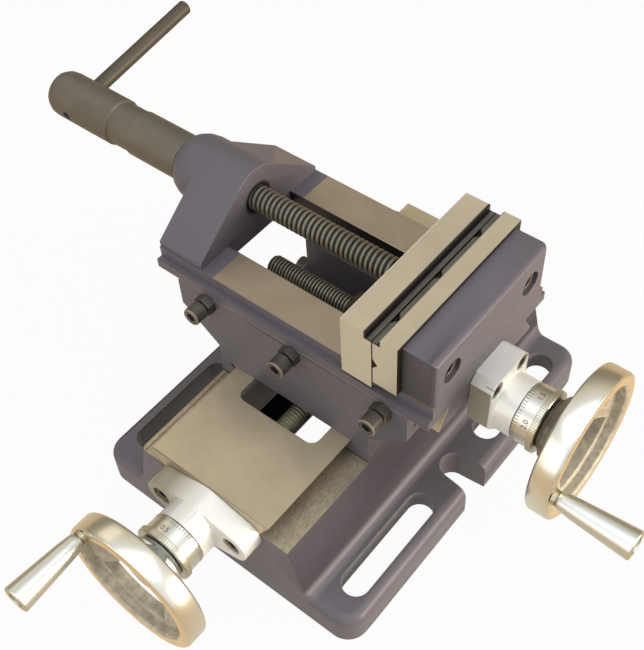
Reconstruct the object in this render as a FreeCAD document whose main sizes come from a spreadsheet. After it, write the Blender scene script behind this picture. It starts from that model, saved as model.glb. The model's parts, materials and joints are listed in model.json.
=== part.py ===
import FreeCAD, Part
import math
import os
import re
import Sketcher

# Cross slide vise: a flanged base, a saddle that slides along Y on it, and a vise
# body that slides along X on the saddle. Each slide is a dovetail with a gib and
# is driven by a lead screw with a dial and a handwheel. The movable jaw is driven
# by a clamp screw with a fixed lever.
# Frame: +X runs from the clamp screw to the upper handwheel, +Y from the lower
# handwheel to the far end of the base, +Z up, origin at the centre of the base's
# underside. Millimetres.

os.makedirs("parts", exist_ok=True)
doc = FreeCAD.newDocument("cross_slide_vise")
sheet = doc.addObject("Spreadsheet::Sheet", "size")

SIZES = [
    # base casting
    ("base_half_x", 88.8, "half width of the base flange"),
    ("base_half_y", 111.3, "half length of the base"),
    ("base_corner", 12.0, "corner radius of the flange in plan"),
    ("base_edge", 3.5, "rounding of the flange's top edge"),
    ("flange_top", 20.0, "height of the flange"),
    ("foot_half", 59.3, "half width of the block where it meets the flange"),
    ("foot_fillet", 6.0, "fillet between flange and block"),
    ("ledge_half", 50.2, "half width of the machined ledges"),
    ("ledge_rise", 37.5, "ledges above the flange"),
    ("low_top_half", 39.1, "half width of the base dovetail at its top"),
    ("low_tail", 11.0, "height of the base dovetail"),
    ("flank", 0.57735, "sideways run of a 60 degree flank per mm of height"),
    ("well_half_x", 26.0, "half width of the nut well in the base"),
    ("well_wall", 50.8, "nut well from each end of the base"),
    ("well_corner", 5.0, "corner radius of the nut well"),
    ("core_half_x", 46.0, "half width of the hollow underside"),
    ("core_roof", 19.5, "ledges above the hollow underside"),
    ("core_wall", 11.3, "wall at each end of the hollow underside"),
    ("core_rib", 5.0, "half thickness of the cross ribs underneath"),
    ("rib_step", 6.5, "cross ribs past the nut well"),
    ("mid_rib_drop", 8.0, "top of the middle rib below the hollow's roof"),
    ("pan_z", 8.0, "depth of the recess under the flange"),
    ("pan_foot", 3.2, "recess under the flange from the block"),
    ("pan_rim", 6.0, "rim outside that recess"),
    ("pan_near", 17.0, "edge of the recess beside the notch"),
    ("pan_end", 6.5, "rim at the end of that recess"),
    ("slot_edge", 14.8, "mounting slots from the flange's side"),
    ("slot_r", 7.7, "half width of a mounting slot"),
    ("slot_near", 32.0, "centre of a slot's inner end"),
    ("slot_end", 22.9, "centre of a slot's outer end from the base's end"),
    ("notch_r", 7.85, "half width of the side notch at its root"),
    ("notch_mouth", 9.6, "half width of the side notch at its mouth"),
    # lower spindle line
    ("low_axis_drop", 4.5, "lower lead screw below the ledges"),
    ("low_ear_pitch", 24.0, "lower bracket screws from the spindle axis"),
    # saddle casting
    ("saddle_rest_y", 4.0, "place of the saddle on the base in the rest pose"),
    ("saddle_half_x", 73.5, "half width of the saddle's arms"),
    ("saddle_rise", 49.1, "top of the saddle above the base dovetail"),
    ("side_drop", 38.2, "where the arms leave the saddle's sides, below its top"),
    ("arm_mid_in", 10.5, "bend of the arm's underside from its end"),
    ("arm_mid_drop", 28.1, "that bend below the saddle's top"),
    ("arm_end_drop", 19.1, "thickness of the arm at its end"),
    ("arm_open_x", 46.0, "middle of the saddle to the gap between its arms"),
    ("arm_open_half", 34.0, "half width of that gap"),
    ("arm_open_slant", 8.0, "height of the slanted edge under that gap"),
    ("slide_gap", 0.05, "clearance of every sliding fit"),
    ("run_gap", 0.3, "clearance above and below each dovetail"),
    ("gib_width", 4.04, "gib, measured level"),
    ("gib_end", 0.6, "gib shorter than the slide at each end"),
    ("up_root_half", 33.0, "half width of the upper dovetail at its root"),
    ("up_tail", 12.8, "height of the upper dovetail"),
    ("lane_half", 20.0, "half width of the lane for the upper screw"),
    ("lane_drop", 37.6, "floor of that lane below the saddle's top"),
    ("saddle_edge", 1.0, "chamfer on the saddle's top edges"),
    # gib adjusting screws
    ("gib_screw_r", 3.0, "gib screw shank radius"),
    ("gib_tip_r", 2.2, "gib screw point radius"),
    ("gib_tip_len", 3.4, "gib screw point length"),
    ("gib_dimple_r", 2.35, "seat of the point in the gib"),
    ("gib_head_r", 5.0, "gib screw head radius"),
    ("gib_head_len", 7.6, "gib screw head length"),
    ("gib_nut_half", 5.0, "half width across flats of a lock nut"),
    ("gib_nut_len", 5.0, "thickness of a lock nut"),
    ("gib_nut_gap", 1.0, "bare thread between lock nut and head"),
    ("gib_pitch", 56.0, "spacing of the upper gib screws"),
    ("gib_first_x", 3.5, "middle upper gib screw"),
    ("gib_up_drop", 4.6, "upper gib screws below the saddle's top"),
    ("gib_low_pitch", 33.0, "spacing of the lower gib screws"),
    ("gib_low_rise", 5.7, "lower gib screws above the ledges"),
    ("gib_seat", 1.2, "depth of the point's seat in the gib"),
    # vise body casting
    ("body_back", 87.4, "vise body from the centre to the clamp side"),
    ("body_front", 85.2, "vise body from the centre to the wheel side"),
    ("lip_rise", 5.5, "lip of the vise body above the saddle"),
    ("rail_in", 25.1, "half width of the opening between the rails"),
    ("rail_rise", 6.6, "rails above the lip"),
    ("rail_lip", 8.0, "thickness of the rail's inner edge"),
    ("undercut", 3.3, "depth of the undercut for the keeper"),
    ("block_depth", 18.2, "thickness of the fixed block"),
    ("block_inset", 0.7, "block and tower inside the rails' sides"),
    ("block_rise", 30.6, "fixed block above the rails"),
    ("block_edge", 3.0, "rounding of the fixed block"),
    ("tower_depth", 28.9, "thickness of the screw tower"),
    ("tower_side_rise", 3.3, "where the tower starts to slope, above the rails"),
    ("boss_r", 19.0, "radius of the tower's boss"),
    ("boss_proud", 19.2, "boss past the vise body"),
    ("boss_end_r", 13.6, "radius of the boss at its outer end"),
    ("lintel_drop", 10.7, "flat underside of the tower, below the rails"),
    ("clamp_rise", 15.3, "clamp screw above the rails"),
    # jaws
    ("jaw_half", 50.0, "half width of the jaws"),
    ("jaw_inset", 0.2, "jaws inside the saddle's and the lip's sides"),
    ("jaw_skirt", 3.3, "jaws' overhang past the rails"),
    ("jaw_rise", 33.2, "jaws above the rails"),
    ("plate_thick", 14.0, "thickness of the fixed jaw plate"),
    ("jaw_face_gap", 0.1, "gap between the closed jaws"),
    ("jaw_thick", 17.8, "thickness of the movable jaw"),
    ("skirt_drop", 5.0, "length of the movable jaw's skirts"),
    ("jaw_skirt_gap", 0.15, "gap between a skirt and the rail"),
    ("step_mov", 3.43, "width of the movable jaw's step"),
    ("step_fix", 4.26, "width of the fixed jaw's step"),
    ("step_deep", 3.6, "depth of the jaw steps"),
    ("vee_deep", 2.6, "depth of the vee grooves"),
    ("vee_half", 3.1, "half width of a vee groove"),
    ("vee_pitch", 33.0, "spacing of the upright vee grooves"),
    ("vee_rise", 13.8, "level vee groove above the rails"),
    ("jaw_screw_y", 32.5, "fixed jaw screws from the middle"),
    ("jaw_screw_rise", 15.0, "fixed jaw screws above the rails"),
    ("jaw_screw_r", 4.0, "fixed jaw screw shank radius"),
    ("jaw_head_r", 6.2, "fixed jaw screw head radius"),
    ("jaw_head_len", 7.5, "fixed jaw screw head length"),
    ("jaw_seat", 9.5, "depth of the fixed jaw screw seats"),
    ("keeper_side", 0.6, "keeper plate inside the undercut"),
    ("keeper_thick", 4.2, "thickness of the keeper plate"),
    ("keeper_gap", 0.1, "keeper plate below the rail's inner edge"),
    ("keeper_inset", 1.0, "keeper plate shorter than the jaw at each side"),
    ("keeper_screw_y", 14.0, "keeper screws from the middle"),
    ("keeper_screw_r", 2.5, "keeper screw shank radius"),
    ("keeper_head_r", 4.2, "keeper screw head radius"),
    ("keeper_head_len", 2.6, "keeper screw head length"),
    # clamp screw
    ("clamp_r", 7.0, "clamp screw thread radius"),
    ("fit_gap", 0.05, "clearance of a running fit"),
    ("tip_r", 6.1, "radius of the clamp screw's nose"),
    ("tip_len", 10.4, "length of the clamp screw's nose"),
    ("tip_gap", 0.3, "gap round the nose"),
    ("neck_r", 4.0, "radius of the groove in the nose"),
    ("neck_at", 4.9, "groove from the jaw's back"),
    ("pin_r", 1.5, "radius of the retaining pins"),
    ("pin_rise", 6.5, "retaining pins above the clamp screw's axis"),
    ("sleeve_r", 13.0, "radius of the clamp screw's body"),
    ("sleeve_gap", 0.4, "clamp screw's body from the boss, jaws closed"),
    ("sleeve_len", 37.0, "length of the clamp screw's body"),
    ("head_neck_r", 12.3, "radius between body and head"),
    ("neck_len", 14.0, "length between body and head"),
    ("head_r", 13.4, "radius of the head"),
    ("head_len", 51.0, "length of the head"),
    ("head_round", 9.0, "rounding of the head's end"),
    ("lever_inset", 18.5, "lever from the head's end"),
    ("lever_r", 4.3, "radius of the lever"),
    ("lever_reach", 89.0, "lever from the screw's axis to its tip"),
    ("lever_root", 7.0, "lever past the screw's axis"),
    ("lever_tilt", 9.2, "lever above level in the rest pose, degrees"),
    ("peen_r", 2.6, "small hole opposite the lever"),
    # spindles, both alike, measured from the face that the bracket is bolted to
    ("lead_r", 6.0, "lead screw thread radius"),
    ("journal_r", 5.0, "journal radius"),
    ("collar_r", 8.5, "thrust collar radius"),
    ("collar_len", 3.8, "thrust collar length"),
    ("collar_seat", 4.0, "depth of the thrust collar's seat"),
    ("bracket_len", 12.5, "thickness of the bracket's flange"),
    ("barrel_r", 15.5, "radius of the bracket's barrel"),
    ("barrel_len", 10.8, "length of the bracket's barrel"),
    ("ear_r", 9.5, "radius of the lower bracket's ears"),
    ("dial_r", 15.7, "radius of the dial"),
    ("dial_gap", 0.2, "gap beside the dial"),
    ("knurl_len", 3.7, "width of the knurled rim"),
    ("knurl_r", 16.8, "radius of the knurled rim"),
    ("dial_len", 12.8, "length of the dial"),
    ("hub_gap", 0.3, "gap between dial and hub"),
    ("hub_r", 13.0, "radius of the wheel's hub"),
    ("hub_len", 13.4, "length of the wheel's hub"),
    ("rim_back", 2.7, "rim's inner edge behind the hub's end"),
    ("rim_len", 12.5, "width of the rim"),
    ("rim_r", 40.0, "radius of the rim"),
    ("rim_wall", 7.5, "thickness of the rim"),
    ("rim_round", 1.6, "rounding of the rim"),
    ("web_hub", 3.5, "wheel window from the hub"),
    ("web_rim", 1.9, "wheel window from the rim"),
    ("window_angle", 88.0, "angle of a wheel window, degrees"),
    ("wheel_pin_r", 2.0, "radius of the pin through the hub"),
    ("wheel_pin_inset", 8.4, "that pin from the hub's inner end"),
    ("grip_inset", 3.8, "handle's axis inside the rim's edge"),
    ("grip_gap", 0.3, "handle from the stud's collar"),
    ("grip_len", 39.2, "length of the handle"),
    ("grip_small", 4.4, "radius of the handle's small end"),
    ("grip_large", 7.5, "radius of the handle's large end"),
    ("stud_r", 3.0, "radius of the handle's stud"),
    ("stud_thread_r", 2.5, "radius of the stud's thread in the rim"),
    ("stud_depth", 8.0, "depth of the stud in the rim"),
    ("stud_collar_r", 3.9, "radius of the stud's collar"),
    ("stud_collar", 2.3, "length of the stud's collar"),
    ("stud_head_r", 4.2, "radius of the stud's head"),
    ("stud_head", 2.6, "length of the stud's head"),
    ("grip_recess", 3.2, "depth of the recess in the handle's end"),
    ("up_axis_drop", 19.6, "upper lead screw below the saddle's top"),
    ("up_screw_end", 53.0, "upper lead screw's free end from the centre"),
    ("low_screw_stop", 3.3, "lower lead screw's free end from the well's far wall"),
    ("up_wheel_turn", 83.0, "rest angle of the upper wheel, degrees"),
    ("low_wheel_turn", 40.5, "rest angle of the lower wheel, degrees"),
    # upper bracket
    ("up_brk_half", 16.0, "half width of the upper bracket"),
    ("up_brk_top", 24.3, "top of the upper bracket above its axis"),
    ("up_brk_corner", 4.5, "cut corners of the upper bracket"),
    ("up_brk_side", 7.5, "side of the upper bracket below its axis"),
    ("up_brk_foot", 9.0, "half width of the upper bracket at its foot"),
    ("up_brk_screw_y", 11.0, "upper bracket screws from the middle"),
    ("up_brk_screw_z", 18.3, "upper bracket screws above the axis"),
    ("brk_screw_r", 2.5, "upper bracket screw shank radius"),
    ("brk_head_r", 4.25, "upper bracket screw head radius"),
    ("brk_head_len", 5.0, "upper bracket screw head length"),
    ("brk_grip", 12.0, "thread length of the upper bracket screws"),
    ("ear_screw_r", 3.0, "lower bracket screw shank radius"),
    ("ear_head_r", 5.0, "lower bracket screw head radius"),
    ("ear_head_len", 6.0, "lower bracket screw head length"),
    ("ear_seat", 7.0, "depth of the lower bracket screw seats"),
    ("ear_grip", 14.0, "thread length of the lower bracket screws"),
    ("head_gap", 0.35, "gap round a sunk screw head"),
    ("hole_gap", 0.3, "gap round a screw in its clearance hole"),
    ("tap_gap", 0.02, "gap round a screw in its thread"),
    ("tap_extra", 1.0, "hole deeper than its screw"),
    # lead nuts
    ("up_nut_x", 9.7, "middle of the upper nut"),
    ("up_nut_half_x", 7.0, "half length of the upper nut"),
    ("up_nut_half_y", 16.5, "half width of the upper nut"),
    ("nut_over", 9.5, "nuts past the screw's axis on the free side"),
    ("up_nut_step", 6.0, "shoulders of the upper nut from the screw's axis"),
    ("nut_neck_half", 8.6, "half width of the nuts round the screw"),
    ("low_nut_half_x", 16.5, "half width of the lower nut"),
    ("low_nut_half_y", 10.0, "half length of the lower nut"),
    ("low_nut_step", 6.5, "shoulders of the lower nut from the screw's axis"),
    ("nut_screw_at", 12.5, "nut screws from the middle"),
    ("nut_screw_r", 2.5, "nut screw shank radius"),
    ("nut_head_r", 3.8, "nut screw head radius"),
    ("nut_head_len", 4.5, "nut screw head length"),
    ("nut_grip", 8.0, "thread length of the nut screws"),
]

# Places that follow from the sizes above, written once.
PLACES = [
    # heights, from the table up
    ("ledge_z", "flange_top + ledge_rise"),
    ("low_top_z", "ledge_z + low_tail"),
    ("core_top", "ledge_z - core_roof"),
    ("low_axis_z", "ledge_z - low_axis_drop"),
    ("gib_low_z", "ledge_z + gib_low_rise"),
    ("saddle_top", "low_top_z + saddle_rise"),
    ("saddle_side_z", "saddle_top - side_drop"),
    ("arm_mid_z", "saddle_top - arm_mid_drop"),
    ("arm_end_z", "saddle_top - arm_end_drop"),
    ("lane_z", "saddle_top - lane_drop"),
    ("up_bottom_z", "saddle_top - up_tail"),
    ("slot_floor_z", "up_bottom_z - run_gap"),
    ("up_axis_z", "saddle_top - up_axis_drop"),
    ("gib_up_z", "saddle_top - gib_up_drop"),
    ("lip_top", "saddle_top + lip_rise"),
    ("rail_top", "lip_top + rail_rise"),
    ("rail_under", "rail_top - rail_lip"),
    ("lintel_z", "rail_top - lintel_drop"),
    ("block_top", "rail_top + block_rise"),
    ("tower_side_z", "rail_top + tower_side_rise"),
    ("clamp_z", "rail_top + clamp_rise"),
    ("jaw_top", "rail_top + jaw_rise"),
    ("jaw_skirt_z", "rail_top - skirt_drop"),
    ("vee_z", "rail_top + vee_rise"),
    ("jaw_screw_z", "rail_top + jaw_screw_rise"),
    ("keeper_top", "rail_under - keeper_gap"),
    ("keeper_z", "keeper_top - keeper_thick"),
    ("pin_top", "clamp_z + pin_rise"),
    ("up_nut_top", "up_axis_z + nut_over"),
    ("up_nut_shoulder", "up_axis_z - up_nut_step"),
    ("low_nut_bottom", "low_axis_z - nut_over"),
    ("low_nut_shoulder", "low_axis_z + low_nut_step"),
    # base, along X and Y
    ("well_half_y", "base_half_y - well_wall"),
    ("core_end", "base_half_y - core_wall"),
    ("core_rib_y", "well_half_y + rib_step"),
    ("pan_in", "foot_half + pan_foot"),
    ("pan_out", "base_half_x - pan_rim"),
    ("pan_far", "base_half_y - pan_end"),
    ("slot_x", "base_half_x - slot_edge"),
    ("slot_far", "base_half_y - slot_end"),
    # widths that follow the jaws
    ("saddle_half_y", "jaw_half + jaw_inset"),
    ("rail_half", "jaw_half - jaw_skirt"),
    ("block_half", "rail_half - block_inset"),
    ("tower_half", "rail_half - block_inset"),
    ("guide_half", "rail_in - jaw_skirt_gap"),
    ("rail_undercut", "rail_in + undercut"),
    ("keeper_half", "rail_undercut - keeper_side"),
    # along the clamp screw
    ("arm_mid_x", "saddle_half_x - arm_mid_in"),
    ("block_x", "body_front - block_depth"),
    ("jaw_line", "block_x - plate_thick - jaw_face_gap"),
    ("jaw_back", "jaw_line - jaw_thick"),
    ("tower_x", "body_back - tower_depth"),
    ("boss_end", "body_back + boss_proud"),
    ("sleeve_in", "boss_end + sleeve_gap"),
    ("sleeve_out", "sleeve_in + sleeve_len"),
    ("head_in", "sleeve_out + neck_len"),
    ("head_out", "head_in + head_len"),
    ("lever_x", "head_out - lever_inset"),
    # along a spindle
    ("barrel_end", "bracket_len + barrel_len"),
    ("dial_end", "barrel_end + dial_gap + dial_len"),
    ("knurl_in", "dial_end - knurl_len"),
    ("hub_in", "dial_end + hub_gap"),
    ("hub_out", "hub_in + hub_len"),
    ("wheel_pin_x", "hub_in + wheel_pin_inset"),
    ("rim_in", "hub_out - rim_back"),
    ("rim_out", "rim_in + rim_len"),
    ("rim_bore", "rim_r - rim_wall"),
    ("web_in", "hub_r + web_hub"),
    ("web_out", "rim_bore - web_rim"),
    ("grip_at", "rim_r - grip_inset"),
    ("grip_in", "rim_out + stud_collar + grip_gap"),
    ("grip_out", "grip_in + grip_len"),
    ("up_lead", "body_front + up_screw_end"),
    ("low_lead", "base_half_y + well_half_y - low_screw_stop"),
]

values = {}
for row, (name, number, note) in enumerate(SIZES, start=1):
    sheet.set("A%d" % row, name)
    sheet.set("B%d" % row, str(number))
    sheet.set("C%d" % row, note)
    sheet.setAlias("B%d" % row, name)
    values[name] = number
doc.recompute()
WORD = re.compile(r"[a-z_][a-z_0-9]*")
places = dict(PLACES)


def cell(match):
    name = match.group(0)
    if name in places:
        return "(" + bound(places[name]) + ")"
    return "size." + name if name in values else name


def bound(text):
    """An expression on the sheet's cells, written with bare names."""
    return WORD.sub(cell, str(text))


def bind(thing, prop, text):
    thing.setExpression(prop, bound(text))


PLANES = {"XY": "XY_Plane", "XZ": "XZ_Plane", "YZ": "YZ_Plane"}
nodes = []
made = [0]


def fresh(stem):
    made[0] += 1
    return "%s_%d" % (stem, made[0])


class Piece:
    """One solid: a body with sketches on its own origin planes.

    Sketch axes: XY uses x, y. XZ uses x, z. YZ uses y, z.
    """

    def __init__(self, label, node=True):
        self.body = doc.addObject("PartDesign::Body", fresh("body"))
        self.body.Label = label
        self.last = None
        if node:
            nodes.append(self.body)

    def sketch(self, side, at):
        thing = self.body.newObject("Sketcher::SketchObject", fresh("sketch"))
        planes = self.body.Origin.OriginFeatures
        support = [p for p in planes if p.Role == PLANES[side]][0]
        thing.AttachmentSupport = [(support, "")]
        thing.MapMode = "FlatFace"
        sign = "-1 * " if side == "XZ" else ""
        bind(thing, "AttachmentOffset.Base.z", "%s(%s)" % (sign, at))
        return thing

    def pin(self, sketch, geo, pos, x, y):
        for axis, kind, amount in (("x", "DistanceX", x), ("y", "DistanceY", y)):
            if amount == 0:
                line = -2 if axis == "x" else -1
                sketch.addConstraint(Sketcher.Constraint("PointOnObject", geo, pos, line))
                continue
            number = sketch.addConstraint(Sketcher.Constraint(kind, -1, 1, geo, pos, 1.0))
            label = fresh("c")
            sketch.renameConstraint(number, label)
            bind(sketch, "Constraints." + label, amount)

    def loop(self, sketch, points):
        first = sketch.GeometryCount
        count = len(points)
        ring = []
        for k in range(count):
            turn = 2 * math.pi * k / count
            ring.append(FreeCAD.Vector(30 * math.cos(turn), 30 * math.sin(turn), 0))
        for k in range(count):
            sketch.addGeometry(Part.LineSegment(ring[k], ring[(k + 1) % count]), False)
        for k in range(count):
            nxt = first + (k + 1) % count
            sketch.addConstraint(Sketcher.Constraint("Coincident", first + k, 2, nxt, 1))
        for k, (x, y) in enumerate(points):
            self.pin(sketch, first + k, 1, x, y)

    def circle(self, sketch, x, y, radius):
        centre = FreeCAD.Vector(5, 5, 0)
        shape = Part.Circle(centre, FreeCAD.Vector(0, 0, 1), 3.0)
        geo = sketch.addGeometry(shape, False)
        self.pin(sketch, geo, 3, x, y)
        number = sketch.addConstraint(Sketcher.Constraint("Radius", geo, 3.0))
        label = fresh("r")
        sketch.renameConstraint(number, label)
        bind(sketch, "Constraints." + label, radius)

    def draw(self, side, at, loops, circles):
        thing = self.sketch(side, at)
        for points in loops:
            self.loop(thing, points)
        for x, y, radius in circles:
            self.circle(thing, x, y, radius)
        return thing

    def add(self, side, low, high, loops=(), circles=()):
        """Pad between two places along the sketch's normal axis."""
        start = high if side == "XZ" else low
        profile = self.draw(side, start, loops, circles)
        pad = self.body.newObject("PartDesign::Pad", fresh("pad"))
        pad.Profile = profile
        bind(pad, "Length", "(%s) - (%s)" % (high, low))
        return self.settle(pad, 1)

    def cut(self, side, low, high, loops=(), circles=()):
        """Pocket between two places along the sketch's normal axis."""
        start = low if side == "XZ" else high
        profile = self.draw(side, start, loops, circles)
        pocket = self.body.newObject("PartDesign::Pocket", fresh("pocket"))
        pocket.Profile = profile
        bind(pocket, "Length", "(%s) - (%s)" % (high, low))
        return self.settle(pocket, -1)

    def turn(self, side, points, axis="H_Axis"):
        profile = self.draw(side, 0, [points], [])
        spun = self.body.newObject("PartDesign::Revolution", fresh("turned"))
        spun.Profile = profile
        spun.ReferenceAxis = (profile, [axis])
        spun.Angle = 360
        return self.settle(spun, 1)

    def groove(self, side, points, angle, axis="H_Axis"):
        profile = self.draw(side, 0, [points], [])
        spun = self.body.newObject("PartDesign::Groove", fresh("groove"))
        spun.Profile = profile
        spun.ReferenceAxis = (profile, [axis])
        spun.Midplane = True
        bind(spun, "Angle", angle)
        self.settle(spun, -1)
        return spun, profile

    def dress(self, kind, radius, test):
        """Round or chamfer every edge that the test picks."""
        base = self.last
        names = []
        for number, edge in enumerate(base.Shape.Edges, start=1):
            if test(edge):
                names.append("Edge%d" % number)
        if not names:
            raise RuntimeError(self.body.Label + ": no edge for " + kind)
        made_one = self.body.newObject("PartDesign::" + kind, fresh(kind.lower()))
        made_one.Base = (base, names)
        bind(made_one, "Radius" if kind == "Fillet" else "Size", radius)
        return self.settle(made_one, 0)

    def settle(self, feature, change):
        before = self.last.Shape.Volume if self.last else 0.0
        doc.recompute([feature])
        if "Invalid" in feature.State or "Error" in feature.State:
            raise RuntimeError("%s: %s failed" % (self.body.Label, feature.Name))
        if not feature.Shape.isValid():
            raise RuntimeError("%s: %s isn't valid" % (self.body.Label, feature.Name))
        now = feature.Shape.Volume
        if change * (now - before) < 0 or (change and abs(now - before) < 1e-6):
            raise RuntimeError("%s: %s changed nothing" % (self.body.Label, feature.Name))
        self.last = feature
        self.body.Tip = feature
        return feature

    def place(self, x=0, y=0, z=0, rotation=None):
        if rotation is not None:
            self.body.Placement = FreeCAD.Placement(FreeCAD.Vector(0, 0, 0), rotation)
        for axis, amount in (("x", x), ("y", y), ("z", z)):
            if amount != 0:
                bind(self.body, "Placement.Base." + axis, amount)
        return self


def box_points(low_a, high_a, low_b, high_b):
    return [(low_a, low_b), (high_a, low_b), (high_a, high_b), (low_a, high_b)]


def hexagon(half_flats):
    """Corners of a hexagon round the sketch's origin, half_flats across its flats."""
    points = []
    for k in range(6):
        turn = math.radians(60 * k + 30)
        reach = 1 / math.cos(math.radians(30))
        x = "(%s) * %.6f" % (half_flats, reach * math.cos(turn))
        y = "(%s) * %.6f" % (half_flats, reach * math.sin(turn))
        if abs(math.cos(turn)) < 1e-9:
            x = 0
        points.append((x, y))
    return points


def size(name):
    return float(sheet.evalExpression(bound(name)))


def near(a, b, tol=0.05):
    return abs(a - b) < tol


def group(label, pieces):
    """Separate solids of one kind, kept together as one node."""
    whole = doc.addObject("Part::Compound", fresh("group"))
    whole.Label = label
    whole.Links = [p.body for p in pieces]
    nodes.append(whole)
    return whole


OUT_X = FreeCAD.Rotation(FreeCAD.Vector(0, 1, 0), 90)
OUT_MINUS_X = FreeCAD.Rotation(FreeCAD.Vector(0, 1, 0), -90)
OUT_MINUS_Y = FreeCAD.Rotation(FreeCAD.Vector(1, 0, 0), 90)
OUT_DOWN = FreeCAD.Rotation(FreeCAD.Vector(1, 0, 0), 180)
OUT_UP = FreeCAD.Rotation()


def socket_screw(label, shank_r, shank, head_r, head, point_r=None, point=None):
    """Cap screw along its own +Z: point at 0, head at the far end, hexagon socket."""
    piece = Piece(label, node=False)
    tip_r = point_r or shank_r + " - 0.5"
    tip = point or "0.6"
    total = "(%s) + (%s)" % (shank, head)
    piece.turn("XZ", [
        (0, 0),
        (tip_r, 0),
        (tip_r if point else shank_r, tip),
        (shank_r, tip + " + 0.01" if point else tip + " * 2"),
        (shank_r, shank),
        (head_r, shank),
        (head_r, total + " - 0.5"),
        (head_r + " - 0.5", total),
        (0, total),
    ], "V_Axis")
    piece.cut("XY", "(%s) + (%s) * 0.45" % (shank, head), total + " + 1", [hexagon(head_r + " * 0.5")])
    return piece


# Base casting: flange, tapered block and the lower dovetail, hollow underneath.
base = Piece("base_casting")
base.add("XY", 0, "flange_top", [box_points("-base_half_x", "base_half_x", "-base_half_y", "base_half_y")])
base.dress("Fillet", "base_corner", lambda e: near(e.BoundBox.ZLength, size("flange_top")))
low_root = "(low_top_half - flank * (low_top_z - ledge_z))"
base.add("XZ", "-base_half_y", "base_half_y", [[
    ("-foot_half", "flange_top - 9"),
    ("foot_half", "flange_top - 9"),
    ("foot_half", "flange_top"),
    ("ledge_half", "ledge_z"),
    (low_root, "ledge_z"),
    ("low_top_half", "low_top_z"),
    ("-low_top_half", "low_top_z"),
    ("-1 * " + low_root, "ledge_z"),
    ("-ledge_half", "ledge_z"),
    ("-foot_half", "flange_top"),
]])
base.dress("Fillet", "foot_fillet", lambda e: (
    near(e.BoundBox.ZMin, size("flange_top")) and near(e.BoundBox.ZMax, size("flange_top"))
    and near(abs(e.BoundBox.XMin), size("foot_half")) and near(e.BoundBox.YMax, size("base_half_y"))))
base.dress("Fillet", "base_edge", lambda e: (
    near(e.BoundBox.ZMin, size("flange_top")) and near(e.BoundBox.ZMax, size("flange_top"))
    and max(abs(e.BoundBox.XMin), abs(e.BoundBox.XMax)) > size("slot_x")))
base.cut("XY", -1, "low_top_z + 1", [
    box_points("-well_half_x", "well_half_x", "-well_half_y", "well_half_y")])
base.dress("Fillet", "well_corner", lambda e: (
    near(abs(e.BoundBox.XMin), size("well_half_x")) and near(abs(e.BoundBox.YMin), size("well_half_y"))
    and e.BoundBox.ZLength > 30))
base.cut("XY", -1, "core_top", [
    box_points("-core_half_x", "core_half_x", "-(core_rib_y - core_rib)", "core_rib_y - core_rib")])
for sign in ("-", ""):
    near_edge = "%s(core_rib_y + core_rib)" % sign
    far_edge = "%score_end" % sign
    base.cut("XY", -1, "core_top", [box_points("-core_half_x", "core_half_x", near_edge, far_edge)])
base.add("XY", 0, "core_top - mid_rib_drop", [
    box_points("-(core_half_x + 1)", "core_half_x + 1", "-core_rib", "core_rib")])
for side in ("-", ""):
    for end in ("-", ""):
        base.cut("XY", -1, "pan_z", [
            box_points(side + "pan_in", side + "pan_out", end + "pan_near", end + "pan_far")])
rects = []
rounds = []
for side in ("-", ""):
    for end in ("-", ""):
        rects.append(box_points(side + "(slot_x - slot_r)", side + "(slot_x + slot_r)",
                                end + "slot_near", end + "slot_far"))
        rounds.append((side + "slot_x", end + "slot_near", "slot_r"))
        rounds.append((side + "slot_x", end + "slot_far", "slot_r"))
base.cut("XY", -1, "flange_top + 1", rects)
base.cut("XY", -1, "flange_top + 1", circles=rounds)
for side in ("-", ""):
    base.cut("XY", -1, "flange_top + 1", [[
        (side + "slot_x", "-notch_r"),
        (side + "(base_half_x + 1)", "-notch_mouth"),
        (side + "(base_half_x + 1)", "notch_mouth"),
        (side + "slot_x", "notch_r"),
    ]])
base.cut("XY", -1, "flange_top + 1", circles=[("-slot_x", 0, "notch_r"), ("slot_x", 0, "notch_r")])
base.cut("XZ", "-(base_half_y + 1)", "-(well_half_y - 3)", circles=[(0, "low_axis_z", "lead_r + hole_gap")])
base.cut("XZ", "-(base_half_y + 1)", "-(base_half_y - ear_grip - tap_extra)", circles=[
    ("-low_ear_pitch", "low_axis_z", "ear_screw_r + tap_gap"),
    ("low_ear_pitch", "low_axis_z", "ear_screw_r + tap_gap")])


# Saddle casting: lower slot along Y, upper slot along X, a lane for the upper screw.
saddle = Piece("saddle_casting")
saddle.add("XZ", "-saddle_half_y", "saddle_half_y", [[
    ("-ledge_half", "ledge_z + slide_gap"),
    ("ledge_half", "ledge_z + slide_gap"),
    ("ledge_half", "saddle_side_z"),
    ("arm_mid_x", "arm_mid_z"),
    ("saddle_half_x", "arm_end_z"),
    ("saddle_half_x", "saddle_top"),
    ("-saddle_half_x", "saddle_top"),
    ("-saddle_half_x", "arm_end_z"),
    ("-arm_mid_x", "arm_mid_z"),
    ("-ledge_half", "saddle_side_z"),
]])
saddle.dress("Chamfer", "saddle_edge", lambda e: (
    near(e.BoundBox.ZMin, size("saddle_top")) and near(e.BoundBox.ZMax, size("saddle_top"))))
low_at = "(low_top_half - flank * (low_top_z - (%s)))"
low_bottom = "(ledge_z - 1)"
low_ceiling = "(low_top_z + run_gap)"
gib_room = "(gib_width + 2 * slide_gap)"
saddle.cut("XZ", "-(saddle_half_y + 1)", "saddle_half_y + 1", [[
    ("-1 * (%s + %s)" % (low_at % low_bottom, gib_room), low_bottom),
    ("%s + slide_gap" % (low_at % low_bottom), low_bottom),
    ("%s + slide_gap" % (low_at % low_ceiling), low_ceiling),
    ("-1 * (%s + %s)" % (low_at % low_ceiling, gib_room), low_ceiling),
]])
up_at = "(up_root_half + flank * (saddle_top - (%s)))"
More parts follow.
